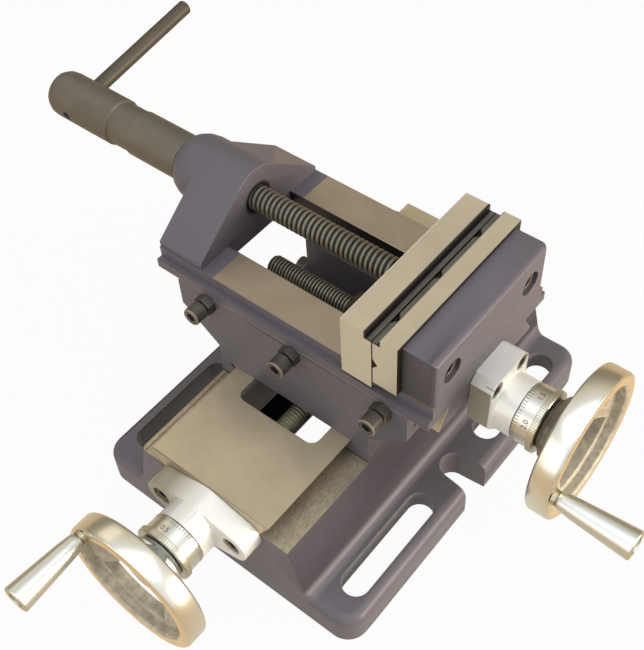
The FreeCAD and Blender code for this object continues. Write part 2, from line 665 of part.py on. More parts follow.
up_above = "(saddle_top + 1)"
saddle.cut("YZ", "-(saddle_half_x + 1)", "saddle_half_x + 1", [[
    ("-1 * (%s + %s)" % (up_at % "slot_floor_z", gib_room), "slot_floor_z"),
    ("%s + slide_gap" % (up_at % "slot_floor_z"), "slot_floor_z"),
    ("%s + slide_gap" % (up_at % up_above), up_above),
    ("-1 * (%s + %s)" % (up_at % up_above, gib_room), up_above),
]])
saddle.cut("YZ", "-(saddle_half_x + 1)", "saddle_half_x + 1", [
    box_points("-lane_half", "lane_half", "lane_z", "slot_floor_z + 1")])
for sign in ("-", ""):
    saddle.cut("XZ", "-arm_open_half", "arm_open_half", [[
        (sign + "(saddle_half_x + 1)", "slot_floor_z + 1"),
        (sign + "arm_open_x", "slot_floor_z + 1"),
        (sign + "arm_open_x", "saddle_side_z + arm_open_slant"),
        (sign + "ledge_half", "saddle_side_z"),
        (sign + "(saddle_half_x + 1)", "saddle_side_z"),
    ]])
gib_xs = ["gib_first_x - gib_pitch", "gib_first_x", "gib_first_x + gib_pitch"]
gib_ys = ["-gib_low_pitch", 0, "gib_low_pitch"]
saddle.cut("XZ", "-(saddle_half_y + 1)", "-%s" % (up_at % "gib_up_z"), circles=[
    (x, "gib_up_z", "gib_screw_r + tap_gap") for x in gib_xs])
saddle.cut("YZ", "-(ledge_half + 1)", "-%s" % (low_at % "gib_low_z"), circles=[
    (y, "gib_low_z", "gib_screw_r + tap_gap") for y in gib_ys])
saddle.cut("XY", "lane_z - nut_grip - tap_extra", "lane_z + 1", circles=[
    ("up_nut_x", "-nut_screw_at", "nut_screw_r + tap_gap"),
    ("up_nut_x", "nut_screw_at", "nut_screw_r + tap_gap")])
saddle.cut("XY", "low_top_z", "%s + nut_grip + tap_extra" % low_ceiling, circles=[
    ("-nut_screw_at", 0, "nut_screw_r + tap_gap"),
    ("nut_screw_at", 0, "nut_screw_r + tap_gap")])
saddle.place(y="saddle_rest_y")

# Gibs: slanted strips that take up the play of each dovetail, with seats for points.
gib_high = "(saddle_top - run_gap)"
gib_low = "(slot_floor_z + run_gap)"
upper_gib = Piece("upper_gib")
upper_gib.add("YZ", "-(saddle_half_x - gib_end)", "saddle_half_x - gib_end", [[
    ("-1 * (%s + slide_gap + gib_width)" % (up_at % gib_low), gib_low),
    ("-1 * (%s + slide_gap)" % (up_at % gib_low), gib_low),
    ("-1 * (%s + slide_gap)" % (up_at % gib_high), gib_high),
    ("-1 * (%s + slide_gap + gib_width)" % (up_at % gib_high), gib_high),
]])
up_seat = "(%s + slide_gap + gib_width - gib_seat)" % (up_at % "gib_up_z")
upper_gib.cut("XZ", "-saddle_half_y", "-" + up_seat, circles=[
    (x, "gib_up_z", "gib_dimple_r") for x in gib_xs])
upper_gib.place(y="saddle_rest_y")
low_gib_top = "low_top_z"
low_gib_foot = "(ledge_z + run_gap)"
lower_gib = Piece("lower_gib")
lower_gib.add("XZ", "-(saddle_half_y - gib_end)", "saddle_half_y - gib_end", [[
    ("-1 * (%s + slide_gap + gib_width)" % (low_at % low_gib_foot), low_gib_foot),
    ("-1 * (%s + slide_gap)" % (low_at % low_gib_foot), low_gib_foot),
    ("-1 * (%s + slide_gap)" % (low_at % low_gib_top), low_gib_top),
    ("-1 * (%s + slide_gap + gib_width)" % (low_at % low_gib_top), low_gib_top),
]])
low_seat = "(%s + slide_gap + gib_width - gib_seat)" % (low_at % "gib_low_z")
lower_gib.cut("YZ", "-ledge_half", "-" + low_seat, circles=[
    (y, "gib_low_z", "gib_dimple_r") for y in gib_ys])
lower_gib.place(y="saddle_rest_y")


def gib_set(which, spots, seat, face, rotation, place):
    """Adjusting screws with their lock nuts along one side of the saddle."""
    shank = "(%s - %s - 0.05 + gib_nut_len + gib_nut_gap)" % (face, seat)
    screws = []
    nuts = []
    for k, spot in enumerate(spots, start=1):
        screw = socket_screw("%s_gib_screw_%d" % (which, k), "gib_screw_r", shank,
                             "gib_head_r", "gib_head_len", "gib_tip_r", "gib_tip_len")
        screws.append(place(screw, spot, "-1 * (%s + 0.05)" % seat, rotation))
        nut = Piece("%s_gib_locknut_%d" % (which, k), node=False)
        nut.add("XY", 0, "gib_nut_len", [hexagon("gib_nut_half")])
        nut.cut("XY", -1, "gib_nut_len + 1", circles=[(0, 0, "gib_screw_r + tap_gap")])
        nuts.append(place(nut, spot, "-1 * (%s + 0.01)" % face, rotation))
    group(which + "_gib_screws", screws)
    group(which + "_gib_locknuts", nuts)


gib_set("upper", gib_xs, up_seat, "saddle_half_y", OUT_MINUS_Y,
        lambda p, spot, depth, rot: p.place(spot, "saddle_rest_y + (%s)" % depth, "gib_up_z", rot))
gib_set("lower", gib_ys, low_seat, "ledge_half", OUT_MINUS_X,
        lambda p, spot, depth, rot: p.place(depth, "saddle_rest_y + (%s)" % spot, "gib_low_z", rot))

# Lead nuts: bronze blocks bolted to the saddle, one above and one below its floor.
upper_nut = Piece("upper_lead_nut")
upper_nut.add("YZ", "up_nut_x - up_nut_half_x", "up_nut_x + up_nut_half_x", [[
    ("-up_nut_half_y", "lane_z"),
    ("up_nut_half_y", "lane_z"),
    ("up_nut_half_y", "up_nut_shoulder"),
    ("nut_neck_half", "up_nut_shoulder"),
    ("nut_neck_half", "up_nut_top - 2"),
    ("nut_neck_half - 2", "up_nut_top"),
    ("-(nut_neck_half - 2)", "up_nut_top"),
    ("-nut_neck_half", "up_nut_top - 2"),
    ("-nut_neck_half", "up_nut_shoulder"),
    ("-up_nut_half_y", "up_nut_shoulder"),
]])
upper_nut.cut("YZ", "up_nut_x - 20", "up_nut_x + 20", circles=[(0, "up_axis_z", "lead_r + fit_gap")])
upper_nut.cut("XY", "lane_z - 1", "up_nut_shoulder + 1", circles=[
    ("up_nut_x", "-nut_screw_at", "nut_screw_r + hole_gap"),
    ("up_nut_x", "nut_screw_at", "nut_screw_r + hole_gap")])
upper_nut.place(y="saddle_rest_y")
lower_nut = Piece("lower_lead_nut")
lower_nut.add("XZ", "-low_nut_half_y", "low_nut_half_y", [[
    ("-low_nut_half_x", low_ceiling),
    ("-low_nut_half_x", "low_nut_shoulder"),
    ("-nut_neck_half", "low_nut_shoulder"),
    ("-nut_neck_half", "low_nut_bottom + 2"),
    ("-(nut_neck_half - 2)", "low_nut_bottom"),
    ("nut_neck_half - 2", "low_nut_bottom"),
    ("nut_neck_half", "low_nut_bottom + 2"),
    ("nut_neck_half", "low_nut_shoulder"),
    ("low_nut_half_x", "low_nut_shoulder"),
    ("low_nut_half_x", low_ceiling),
]])
lower_nut.cut("XZ", -20, 20, circles=[(0, "low_axis_z", "lead_r + fit_gap")])
lower_nut.cut("XY", "low_nut_shoulder - 1", "low_top_z + 2", circles=[
    ("-nut_screw_at", 0, "nut_screw_r + hole_gap"),
    ("nut_screw_at", 0, "nut_screw_r + hole_gap")])
lower_nut.place(y="saddle_rest_y")
upper_set = []
lower_set = []
for sign in ("-", ""):
    screw = socket_screw("nut_screw", "nut_screw_r", "(nut_grip + up_nut_shoulder - lane_z)",
                         "nut_head_r", "nut_head_len")
    screw.place("up_nut_x", "saddle_rest_y + %snut_screw_at" % sign, "lane_z - nut_grip", OUT_UP)
    upper_set.append(screw)
    screw = socket_screw("nut_screw", "nut_screw_r", "(nut_grip + %s - low_nut_shoulder)" % low_ceiling,
                         "nut_head_r", "nut_head_len")
    screw.place(sign + "nut_screw_at", "saddle_rest_y", "%s + nut_grip" % low_ceiling, OUT_DOWN)
    lower_set.append(screw)
group("upper_nut_screws", upper_set)
group("lower_nut_screws", lower_set)

# Vise body casting: dovetail legs, lips, rails, fixed block and screw tower.
vise = Piece("vise_body_casting")
vise.add("XY", "saddle_top + slide_gap", "lip_top", [
    box_points("-body_back", "body_front", "-saddle_half_y", "saddle_half_y")])
vise.add("XY", "lip_top - 1", "rail_top", [
    box_points("-body_back", "body_front", "-rail_half", "rail_half")])
vise.add("YZ", "-body_back", "body_front", [[
    ("-1 * %s" % (up_at % "up_bottom_z"), "up_bottom_z"),
    (up_at % "up_bottom_z", "up_bottom_z"),
    ("up_root_half", "saddle_top"),
    ("up_root_half", "saddle_top + 1"),
    ("-up_root_half", "saddle_top + 1"),
    ("-up_root_half", "saddle_top"),
]])
vise.add("YZ", "block_x", "body_front", [
    box_points("-block_half", "block_half", "rail_top - 1", "block_top")])
vise.dress("Fillet", "block_edge", lambda e: (
    e.BoundBox.ZMax > size("rail_top") + 1 and near(e.BoundBox.XMin, size("body_front"))
    and near(e.BoundBox.XMax, size("body_front"))))
drop = "(clamp_z - tower_side_z)"
span = "(tower_half * tower_half + %s * %s)" % (drop, drop)
reach = "sqrt(%s - boss_r * boss_r)" % span
touch_y = "((boss_r * boss_r * tower_half + boss_r * %s * %s) / %s)" % (reach, drop, span)
touch_z = "((boss_r * %s * tower_half - boss_r * boss_r * %s) / %s)" % (reach, drop, span)
vise.add("YZ", "-body_back", "-tower_x", [[
    ("-tower_half", "rail_top - 1"),
    ("tower_half", "rail_top - 1"),
    ("tower_half", "tower_side_z"),
    (touch_y, "clamp_z + %s" % touch_z),
    ("-1 * " + touch_y, "clamp_z + %s" % touch_z),
    ("-tower_half", "tower_side_z"),
]])
boss = vise.draw("XZ", 0, [[
    ("-tower_x", "clamp_z"),
    ("-tower_x", "clamp_z + boss_r"),
    ("-(boss_end - 12)", "clamp_z + boss_r"),
    ("-(boss_end - 7)", "clamp_z + boss_r - 0.8"),
    ("-(boss_end - 3)", "clamp_z + boss_r - 2.6"),
    ("-boss_end", "clamp_z + boss_end_r"),
    ("-boss_end", "clamp_z"),
]], [])
line = boss.addGeometry(Part.LineSegment(FreeCAD.Vector(-3, 5, 0), FreeCAD.Vector(-9, 5, 0)), True)
vise.pin(boss, line, 1, "-tower_x", "clamp_z")
vise.pin(boss, line, 2, "-boss_end", "clamp_z")
spun = vise.body.newObject("PartDesign::Revolution", fresh("turned"))
spun.Profile = boss
spun.ReferenceAxis = (boss, ["Axis0"])
spun.Angle = 360
vise.settle(spun, 1)
vise.cut("YZ", "-(tower_x + 1)", "block_x", [
    box_points("-rail_in", "rail_in", "up_bottom_z - 1", "rail_top + 1")])
vise.cut("YZ", "-(body_back + 1)", "-(tower_x - 1)", [
    box_points("-rail_in", "rail_in", "up_bottom_z - 1", "lintel_z")])
vise.cut("YZ", "-(tower_x - 1)", "block_x", [
    box_points("-rail_undercut", "rail_undercut", "up_bottom_z - 1", "rail_under")])
vise.cut("YZ", "-(boss_end + 1)", "-(tower_x - 1)", circles=[(0, "clamp_z", "clamp_r + fit_gap")])
for sign in ("-", ""):
    y = sign + "jaw_screw_y"
    vise.cut("YZ", "block_x - 1", "body_front + 1", circles=[(y, "jaw_screw_z", "jaw_screw_r + hole_gap")])
    vise.cut("YZ", "body_front - jaw_seat", "body_front + 1", circles=[
        (y, "jaw_screw_z", "jaw_head_r + head_gap")])
    vise.cut("YZ", "body_front - brk_grip - tap_extra", "body_front + 1", circles=[
        (sign + "up_brk_screw_y", "up_axis_z + up_brk_screw_z", "brk_screw_r + tap_gap")])
vise.place(y="saddle_rest_y")

# Fixed jaw plate with its vee grooves, held by two screws through the block.
plate = Piece("fixed_jaw_plate")
plate.add("YZ", "jaw_line + jaw_face_gap", "block_x", [
    box_points("-jaw_half", "jaw_half", "rail_top", "jaw_top")])
face = "(jaw_line + jaw_face_gap)"
plate.cut("XZ", "-(jaw_half + 1)", "jaw_half + 1", [
    box_points("%s - 1" % face, "%s + step_fix" % face, "jaw_top - step_deep", "jaw_top + 1")])
plate.cut("XZ", "-(jaw_half + 1)", "jaw_half + 1", [[
    ("%s - 1" % face, "vee_z - vee_half * (1 + 1 / vee_deep)"),
    ("%s + vee_deep" % face, "vee_z"),
    ("%s - 1" % face, "vee_z + vee_half * (1 + 1 / vee_deep)"),
]])
for y in ("-vee_pitch", "0", "vee_pitch"):
    plate.cut("XY", "rail_top - 1", "jaw_top + 1", [[
        ("%s - 1" % face, "%s - vee_half * (1 + 1 / vee_deep)" % y),
        ("%s + vee_deep" % face, 0 if y == "0" else y),
        ("%s - 1" % face, "%s + vee_half * (1 + 1 / vee_deep)" % y),
    ]])
plate.cut("YZ", "jaw_line + 4.6", "block_x + 1", circles=[
    ("-jaw_screw_y", "jaw_screw_z", "jaw_screw_r + tap_gap"),
    ("jaw_screw_y", "jaw_screw_z", "jaw_screw_r + tap_gap")])
plate.place(y="saddle_rest_y")
plate_screws = []
for sign in ("-", ""):
    screw = socket_screw("jaw_screw", "jaw_screw_r", "(body_front - jaw_seat - jaw_line - 5.2)",
                         "jaw_head_r", "jaw_head_len")
    screw.place("jaw_line + 5.2", "saddle_rest_y + %sjaw_screw_y" % sign, "jaw_screw_z", OUT_X)
    plate_screws.append(screw)
group("fixed_jaw_screws", plate_screws)

# Movable jaw: block on the rails, skirts outside them, guide between them.
jaw = Piece("movable_jaw")
jaw.add("YZ", "jaw_back", "jaw_line", [
    box_points("-jaw_half", "jaw_half", "rail_top + slide_gap", "jaw_top")])
jaw.add("YZ", "jaw_back", "jaw_line", [
    box_points("-guide_half", "guide_half", "keeper_top", "rail_top + 1")])
for sign in ("-", ""):
    jaw.add("YZ", "jaw_back", "jaw_line", [box_points(
        sign + "(rail_half + jaw_skirt_gap)", sign + "jaw_half", "jaw_skirt_z", "rail_top + 1")])
jaw.cut("XZ", "-(jaw_half + 1)", "jaw_half + 1", [
    box_points("jaw_line - step_mov", "jaw_line + 1", "jaw_top - step_deep", "jaw_top + 1")])
jaw.cut("YZ", "jaw_back - 1", "jaw_back + tip_len + 0.4", circles=[(0, "clamp_z", "tip_r + tip_gap")])
pin_y = "(neck_r + fit_gap + pin_r)"
jaw.cut("XY", "keeper_top - 1", "pin_top", circles=[
    ("jaw_back + neck_at", "-1 * " + pin_y, "pin_r + tap_gap"),
    ("jaw_back + neck_at", pin_y, "pin_r + tap_gap")])
keeper_x = "((jaw_back + jaw_line) / 2)"
jaw.cut("XY", "keeper_top - 1", "keeper_top + 11", circles=[
    (keeper_x, "-keeper_screw_y", "keeper_screw_r + tap_gap"),
    (keeper_x, "keeper_screw_y", "keeper_screw_r + tap_gap")])
jaw.place(y="saddle_rest_y")
pins = []
for sign in ("-1 * ", "1 * "):
    pin = Piece("jaw_pin", node=False)
    pin.add("XY", "keeper_top + 0.1", "pin_top - 0.3", circles=[(0, 0, "pin_r")])
    pins.append(pin.place("jaw_back + neck_at", "saddle_rest_y + %s%s" % (sign, pin_y)))
group("jaw_retaining_pins", pins)
keeper = Piece("jaw_keeper_plate")
keeper.add("XY", "keeper_z", "keeper_top", [
    box_points("jaw_back + keeper_inset", "jaw_line - keeper_inset", "-keeper_half", "keeper_half")])
keeper.cut("XY", "keeper_z - 1", "keeper_top + 1", circles=[
    (keeper_x, "-keeper_screw_y", "keeper_screw_r + hole_gap"),
    (keeper_x, "keeper_screw_y", "keeper_screw_r + hole_gap")])
keeper.cut("XY", "keeper_z - 1", "keeper_z + keeper_head_len", circles=[
    (keeper_x, "-keeper_screw_y", "keeper_head_r + head_gap"),
    (keeper_x, "keeper_screw_y", "keeper_head_r + head_gap")])
keeper.place(y="saddle_rest_y")
keeper_screws = []
for sign in ("-", ""):
    shank = "(keeper_top + 10 - keeper_z - keeper_head_len)"
    screw = socket_screw("keeper_screw", "keeper_screw_r", shank, "keeper_head_r", "keeper_head_len")
    screw.place(keeper_x, "saddle_rest_y + %skeeper_screw_y" % sign, "keeper_top + 10", OUT_DOWN)
    keeper_screws.append(screw)
group("jaw_keeper_screws", keeper_screws)

# Clamp screw: nose with a groove, thread, body and a head bored for the lever.
clamp = Piece("clamp_screw")
nose = "(jaw_back + tip_len)"
groove = "(jaw_back + neck_at)"
clamp.turn("XZ", [
    (nose, 0),
    (nose, "tip_r - 1"),
    ("%s - 1" % nose, "tip_r"),
    ("%s + pin_r + 0.3" % groove, "tip_r"),
    ("%s + pin_r + 0.3" % groove, "neck_r"),
    ("%s - pin_r - 0.3" % groove, "neck_r"),
    ("%s - pin_r - 0.3" % groove, "tip_r"),
    ("jaw_back - 0.3", "tip_r"),
    ("jaw_back - 0.3", "clamp_r - 0.6"),
    ("jaw_back - 0.9", "clamp_r"),
    ("-sleeve_in", "clamp_r"),
    ("-sleeve_in", "sleeve_r - 0.8"),
    ("-(sleeve_in + 0.8)", "sleeve_r"),
    ("-(sleeve_out - 0.7)", "sleeve_r"),
    ("-sleeve_out", "head_neck_r"),
    ("-head_in", "head_neck_r"),
    ("-(head_in + 0.9)", "head_r"),
    ("-(head_out - head_round)", "head_r"),
    ("-(head_out - head_round * 0.62)", "head_r * 0.97"),
    ("-(head_out - head_round * 0.29)", "head_r * 0.86"),
    ("-(head_out - head_round * 0.07)", "head_r * 0.64"),
    ("-head_out", "head_r * 0.4"),
    ("-head_out", 0),
])
TILT = FreeCAD.Rotation(FreeCAD.Vector(1, 0, 0), size("lever_tilt"))
lever_bore = Piece("lever_bore", node=False)
lever_bore.add("XZ", "-(lever_root + 0.2)", "head_r + 5", circles=[("-lever_x", 0, "lever_r + tap_gap")])
lever_bore.add("XZ", "-(head_r + 5)", "-lever_root", circles=[("-lever_x", 0, "peen_r")])
lever_bore.body.Placement = FreeCAD.Placement(FreeCAD.Vector(0, 0, 0), TILT)
clamp.body.Label = "clamp_screw_blank"
nodes.remove(clamp.body)
clamp_cut = doc.addObject("Part::Cut", "clamp_cut")
clamp_cut.Base = clamp.body
clamp_cut.Tool = lever_bore.body
clamp_cut.Label = "clamp_screw"
bind(clamp_cut, "Placement.Base.y", "saddle_rest_y")
bind(clamp_cut, "Placement.Base.z", "clamp_z")
nodes.append(clamp_cut)
lever = Piece("clamp_lever")
lever.turn("XY", [
    (0, "-lever_root"),
    ("lever_r", "-lever_root"),
    ("lever_r", "lever_reach - 0.8"),
    ("lever_r - 0.8", "lever_reach"),
    (0, "lever_reach"),
], "V_Axis")
lever.place("-lever_x", "saddle_rest_y", "clamp_z", TILT)


# Spindle lines. Each is drawn along its own +X from the face the bracket sits on,
# and then turned into place: the upper one runs along +X, the lower one along -Y.
def spindle(which, lead, turn_name, put):
    screw = Piece(which + "_lead_screw")
    screw.turn("XZ", [
        ("-" + lead, 0),
        ("-" + lead, "lead_r - 1"),
        ("-(%s - 1)" % lead, "lead_r"),
        ("dial_gap / 2", "lead_r"),
        ("dial_gap / 2", "collar_r"),
        ("dial_gap / 2 + collar_len", "collar_r"),
        ("dial_gap / 2 + collar_len", "journal_r"),
        ("hub_out - 0.8", "journal_r"),
        ("hub_out", "journal_r - 0.8"),
        ("hub_out", 0),
    ])
    screw.cut("XY", -20, 20, circles=[("wheel_pin_x", 0, "wheel_pin_r + tap_gap")])
    put(screw, turn_name)
    dial = Piece(which + "_dial")
    dial.turn("XZ", [
        ("barrel_end + dial_gap", "journal_r + fit_gap"),
        ("barrel_end + dial_gap", "dial_r - 0.4"),
        ("barrel_end + dial_gap + 0.4", "dial_r"),
        ("knurl_in", "dial_r"),
        ("knurl_in + 0.4", "knurl_r"),
        ("dial_end - 0.5", "knurl_r"),
        ("dial_end", "knurl_r - 0.5"),
        ("dial_end", "journal_r + fit_gap"),
    ])
    put(dial, None)
    wheel = Piece(which + "_handwheel")
    wheel.turn("XZ", [
        ("hub_in", "journal_r + tap_gap"),
        ("hub_in", "hub_r"),
        ("hub_in + 1.8", "hub_r + 1.2"),
        ("rim_in", "rim_bore - 1.4"),
        ("rim_in", "rim_r - rim_round"),
        ("rim_in + rim_round * 0.3", "rim_r - rim_round * 0.3"),
        ("rim_in + rim_round", "rim_r"),
        ("rim_out - rim_round", "rim_r"),
        ("rim_out - rim_round * 0.3", "rim_r - rim_round * 0.3"),
        ("rim_out", "rim_r - rim_round"),
        ("rim_out", "rim_bore + 1.2"),
        ("rim_out - 1.2", "rim_bore"),
        ("rim_in + 7", "rim_bore"),
        ("hub_out - 4.6", "hub_r + 0.2"),
        ("hub_out", "hub_r - 0.6"),
        ("hub_out", "journal_r + tap_gap"),
    ])
    window, frame = wheel.groove("XZ", box_points("hub_in - 1", "rim_out", "web_in", "web_out"),
                                 "window_angle")
    pattern = wheel.body.newObject("PartDesign::PolarPattern", fresh("pattern"))
    pattern.Originals = [window]
    pattern.Axis = (frame, ["H_Axis"])
    pattern.Angle = 360
    pattern.Occurrences = 3
    wheel.settle(pattern, -1)
    wheel.cut("YZ", "rim_out - stud_depth - tap_extra", "rim_out + 1", circles=[
        (0, "grip_at", "stud_thread_r + tap_gap")])
    wheel.cut("XY", "-(hub_r + 3)", "hub_r + 3", circles=[("wheel_pin_x", 0, "wheel_pin_r + tap_gap")])
    put(wheel, turn_name)
    pin = Piece(which + "_wheel_pin")
    pin.add("XY", "-(hub_r - 0.6)", "hub_r - 0.6", circles=[("wheel_pin_x", 0, "wheel_pin_r")])
    put(pin, turn_name)
    stud = Piece(which + "_handle_stud")
    stud.turn("XZ", [
        ("rim_out - stud_depth", 0),
        ("rim_out - stud_depth", "stud_thread_r - 0.5"),
        ("rim_out - stud_depth + 0.5", "stud_thread_r"),
        ("rim_out", "stud_thread_r"),
        ("rim_out", "stud_collar_r"),
        ("rim_out + stud_collar", "stud_collar_r"),
        ("rim_out + stud_collar", "stud_r"),
        ("grip_out - grip_recess + 0.15", "stud_r"),
        ("grip_out - grip_recess + 0.15", "stud_head_r - 0.3"),
        ("grip_out - grip_recess + stud_head - 0.5", "stud_head_r - 0.3"),
        ("grip_out - grip_recess + stud_head", "stud_head_r - 0.8"),
        ("grip_out - grip_recess + stud_head", 0),
    ])
    put(stud, turn_name, "grip_at")
    grip = Piece(which + "_handle")
    grip.turn("XZ", [
        ("grip_in", "stud_r + fit_gap"),
        ("grip_in", "grip_small - 0.9"),
        ("grip_in + 0.7", "grip_small - 0.2"),
        ("grip_in + 2.2", "grip_small + 0.2"),
        ("grip_in + 9", "grip_small + 1.0"),
        ("grip_out - 0.6", "grip_large"),
        ("grip_out", "grip_large - 0.6"),
        ("grip_out", "stud_head_r"),
        ("grip_out - grip_recess", "stud_head_r"),
        ("grip_out - grip_recess", "stud_r + fit_gap"),
    ])
    put(grip, turn_name, "grip_at")


def put_upper(piece, turn_name, out="0"):
    turn = size(turn_name) if turn_name else 0.0
    rotation = FreeCAD.Rotation(FreeCAD.Vector(1, 0, 0), turn)
    angle = turn_name or "0"
    y = "saddle_rest_y - sin(%s * 1deg) * (%s)" % (angle, out)
    z = "up_axis_z + cos(%s * 1deg) * (%s)" % (angle, out)
    return piece.place("body_front", y, z, rotation)


def put_lower(piece, turn_name, out="0"):
    turn = size(turn_name) if turn_name else 0.0
    rotation = FreeCAD.Rotation(FreeCAD.Vector(0, 0, 1), -90).multiply(
        FreeCAD.Rotation(FreeCAD.Vector(1, 0, 0), turn))
    angle = turn_name or "0"
    x = "0 - sin(%s * 1deg) * (%s)" % (angle, out)
    z = "low_axis_z + cos(%s * 1deg) * (%s)" % (angle, out)
    return piece.place(x, "-base_half_y", z, rotation)


spindle("upper", "up_lead", "up_wheel_turn", put_upper)
spindle("lower", "low_lead", "low_wheel_turn", put_lower)


def bracket(which, outline, ears, screws, shank_r, head_r, seat, put):
    """Bearing bracket: flange, barrel, bored for the journal and the thrust collar."""
    piece = Piece(which + "_screw_bracket")
    piece.add("YZ", 0, "bracket_len", [outline])
    if ears:
        piece.add("YZ", 0, "bracket_len", circles=ears)
    piece.add("YZ", 0, "barrel_end", circles=[(0, 0, "barrel_r")])
    piece.cut("YZ", -1, "barrel_end + 1", circles=[(0, 0, "journal_r + fit_gap")])
    piece.cut("YZ", -1, "collar_seat", circles=[(0, 0, "collar_r + hole_gap")])
    piece.cut("YZ", -1, "bracket_len + 1", circles=[(y, z, shank_r + " + hole_gap") for y, z in screws])
    piece.cut("YZ", "bracket_len - " + seat, "bracket_len + 1", circles=[
        (y, z, head_r + " + head_gap") for y, z in screws])
    put(piece, None)


bracket("upper", [
    ("-up_brk_foot", "-barrel_r"),
    ("up_brk_foot", "-barrel_r"),
    ("up_brk_half", "-up_brk_side"),
    ("up_brk_half", "up_brk_top - up_brk_corner"),
    ("up_brk_half - up_brk_corner", "up_brk_top"),
    ("-(up_brk_half - up_brk_corner)", "up_brk_top"),
    ("-up_brk_half", "up_brk_top - up_brk_corner"),
    ("-up_brk_half", "-up_brk_side"),
], [], [("-up_brk_screw_y", "up_brk_screw_z"), ("up_brk_screw_y", "up_brk_screw_z")],
    "brk_screw_r", "brk_head_r", "brk_head_len", put_upper)
lean = "((barrel_r - ear_r) / low_ear_pitch)"
level = "sqrt(1 - %s * %s)" % (lean, lean)
ear_out = "(low_ear_pitch + ear_r * %s)" % lean
big_out = "(barrel_r * %s)" % lean
bracket("lower", [
    ("-1 * " + ear_out, "-ear_r * " + level),
    ("-1 * " + big_out, "-barrel_r * " + level),
    (big_out, "-barrel_r * " + level),
    (ear_out, "-ear_r * " + level),
    (ear_out, "ear_r * " + level),
    (big_out, "barrel_r * " + level),
    ("-1 * " + big_out, "barrel_r * " + level),
    ("-1 * " + ear_out, "ear_r * " + level),
], [("-low_ear_pitch", 0, "ear_r"), ("low_ear_pitch", 0, "ear_r")],
    [("-low_ear_pitch", 0), ("low_ear_pitch", 0)], "ear_screw_r", "ear_head_r", "ear_seat", put_lower)
upper_fix = []
lower_fix = []
for sign in ("-", ""):
    screw = socket_screw("bracket_screw", "brk_screw_r", "(brk_grip + bracket_len - brk_head_len)",
                         "brk_head_r", "brk_head_len - 0.2")
    screw.place("body_front - brk_grip", "saddle_rest_y + %sup_brk_screw_y" % sign,
                "up_axis_z + up_brk_screw_z", OUT_X)
    upper_fix.append(screw)
    screw = socket_screw("bracket_screw", "ear_screw_r", "(ear_grip + bracket_len - ear_seat)",
                         "ear_head_r", "ear_head_len")
    screw.place(sign + "low_ear_pitch", "-(base_half_y - ear_grip)", "low_axis_z", OUT_MINUS_Y)
    lower_fix.append(screw)
group("upper_bracket_screws", upper_fix)
group("lower_bracket_screws", lower_fix)

doc.recompute()
for thing in doc.Objects:
    if "Invalid" in thing.State or "Error" in thing.State:
        raise RuntimeError("%s (%s) failed" % (thing.Label, thing.Name))
for node in nodes:
    shape = node.Shape
    if shape.isNull() or not shape.isValid():
        raise RuntimeError(node.Label + ": no valid shape")
    solids = len(shape.Solids)
    print("%-24s solids %d volume %.0f" % (node.Label, solids, shape.Volume))
for node in nodes:
    node.Shape.exportStep("parts/%s.step" % node.Label)
print(len(nodes), "nodes")
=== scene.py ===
# %% [markdown]
# # A cross slide vise
#
# This lesson dresses a small machine vise: three grey painted iron castings that slide
# on each other, ground steel jaws, chromed handwheels and dials, and a black clamp
# screw. The shapes come packed as a frame, in metres. Every step adds what a maker
# would see next: rounded edges, threads, knurls, dial marks, paint, oil and wear.

import bmesh
import bpy
import json
import math
from mathutils import Matrix, Vector
from mathutils.bvhtree import BVHTree
from mathutils.kdtree import KDTree

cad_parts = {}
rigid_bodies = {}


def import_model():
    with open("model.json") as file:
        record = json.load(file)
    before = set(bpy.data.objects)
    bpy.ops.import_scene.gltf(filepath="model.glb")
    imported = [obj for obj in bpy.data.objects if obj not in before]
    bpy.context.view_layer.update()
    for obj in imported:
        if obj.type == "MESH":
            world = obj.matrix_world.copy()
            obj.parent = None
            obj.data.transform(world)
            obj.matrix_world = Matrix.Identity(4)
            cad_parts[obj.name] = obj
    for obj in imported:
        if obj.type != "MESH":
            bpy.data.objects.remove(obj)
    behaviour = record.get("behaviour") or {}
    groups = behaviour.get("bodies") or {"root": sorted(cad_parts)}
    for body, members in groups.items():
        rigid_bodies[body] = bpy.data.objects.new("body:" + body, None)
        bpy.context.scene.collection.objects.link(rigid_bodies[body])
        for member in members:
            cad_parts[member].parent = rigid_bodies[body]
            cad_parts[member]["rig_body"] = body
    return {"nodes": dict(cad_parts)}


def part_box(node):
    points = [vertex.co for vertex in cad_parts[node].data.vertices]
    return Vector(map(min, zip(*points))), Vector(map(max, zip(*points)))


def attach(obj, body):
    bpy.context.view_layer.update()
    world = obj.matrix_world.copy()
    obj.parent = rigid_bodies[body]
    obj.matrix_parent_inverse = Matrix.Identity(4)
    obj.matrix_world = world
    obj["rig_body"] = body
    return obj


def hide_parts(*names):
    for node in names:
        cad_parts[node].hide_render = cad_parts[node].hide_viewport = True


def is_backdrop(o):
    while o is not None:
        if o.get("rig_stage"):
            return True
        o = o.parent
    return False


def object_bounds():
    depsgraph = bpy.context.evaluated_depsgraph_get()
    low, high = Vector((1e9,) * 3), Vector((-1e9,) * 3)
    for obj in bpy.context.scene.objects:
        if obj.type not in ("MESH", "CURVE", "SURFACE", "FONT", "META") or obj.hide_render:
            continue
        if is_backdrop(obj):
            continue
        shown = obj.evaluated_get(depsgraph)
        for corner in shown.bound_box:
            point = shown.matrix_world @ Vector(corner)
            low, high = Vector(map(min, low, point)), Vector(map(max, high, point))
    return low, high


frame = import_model()
nodes = frame["nodes"]
cad_low, cad_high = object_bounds()
MM = 0.001
print("nodes", len(nodes), "box", [round(v, 4) for v in cad_high - cad_low])

# %% [markdown]
# ## The camera
#
# The picture was taken from above the right front corner. A lens of 60 mm on a 36 mm
# film side, half a metre above the table, gives the same perspective. The turn is one
# rotation about one axis, which takes the world's axes to the camera's.


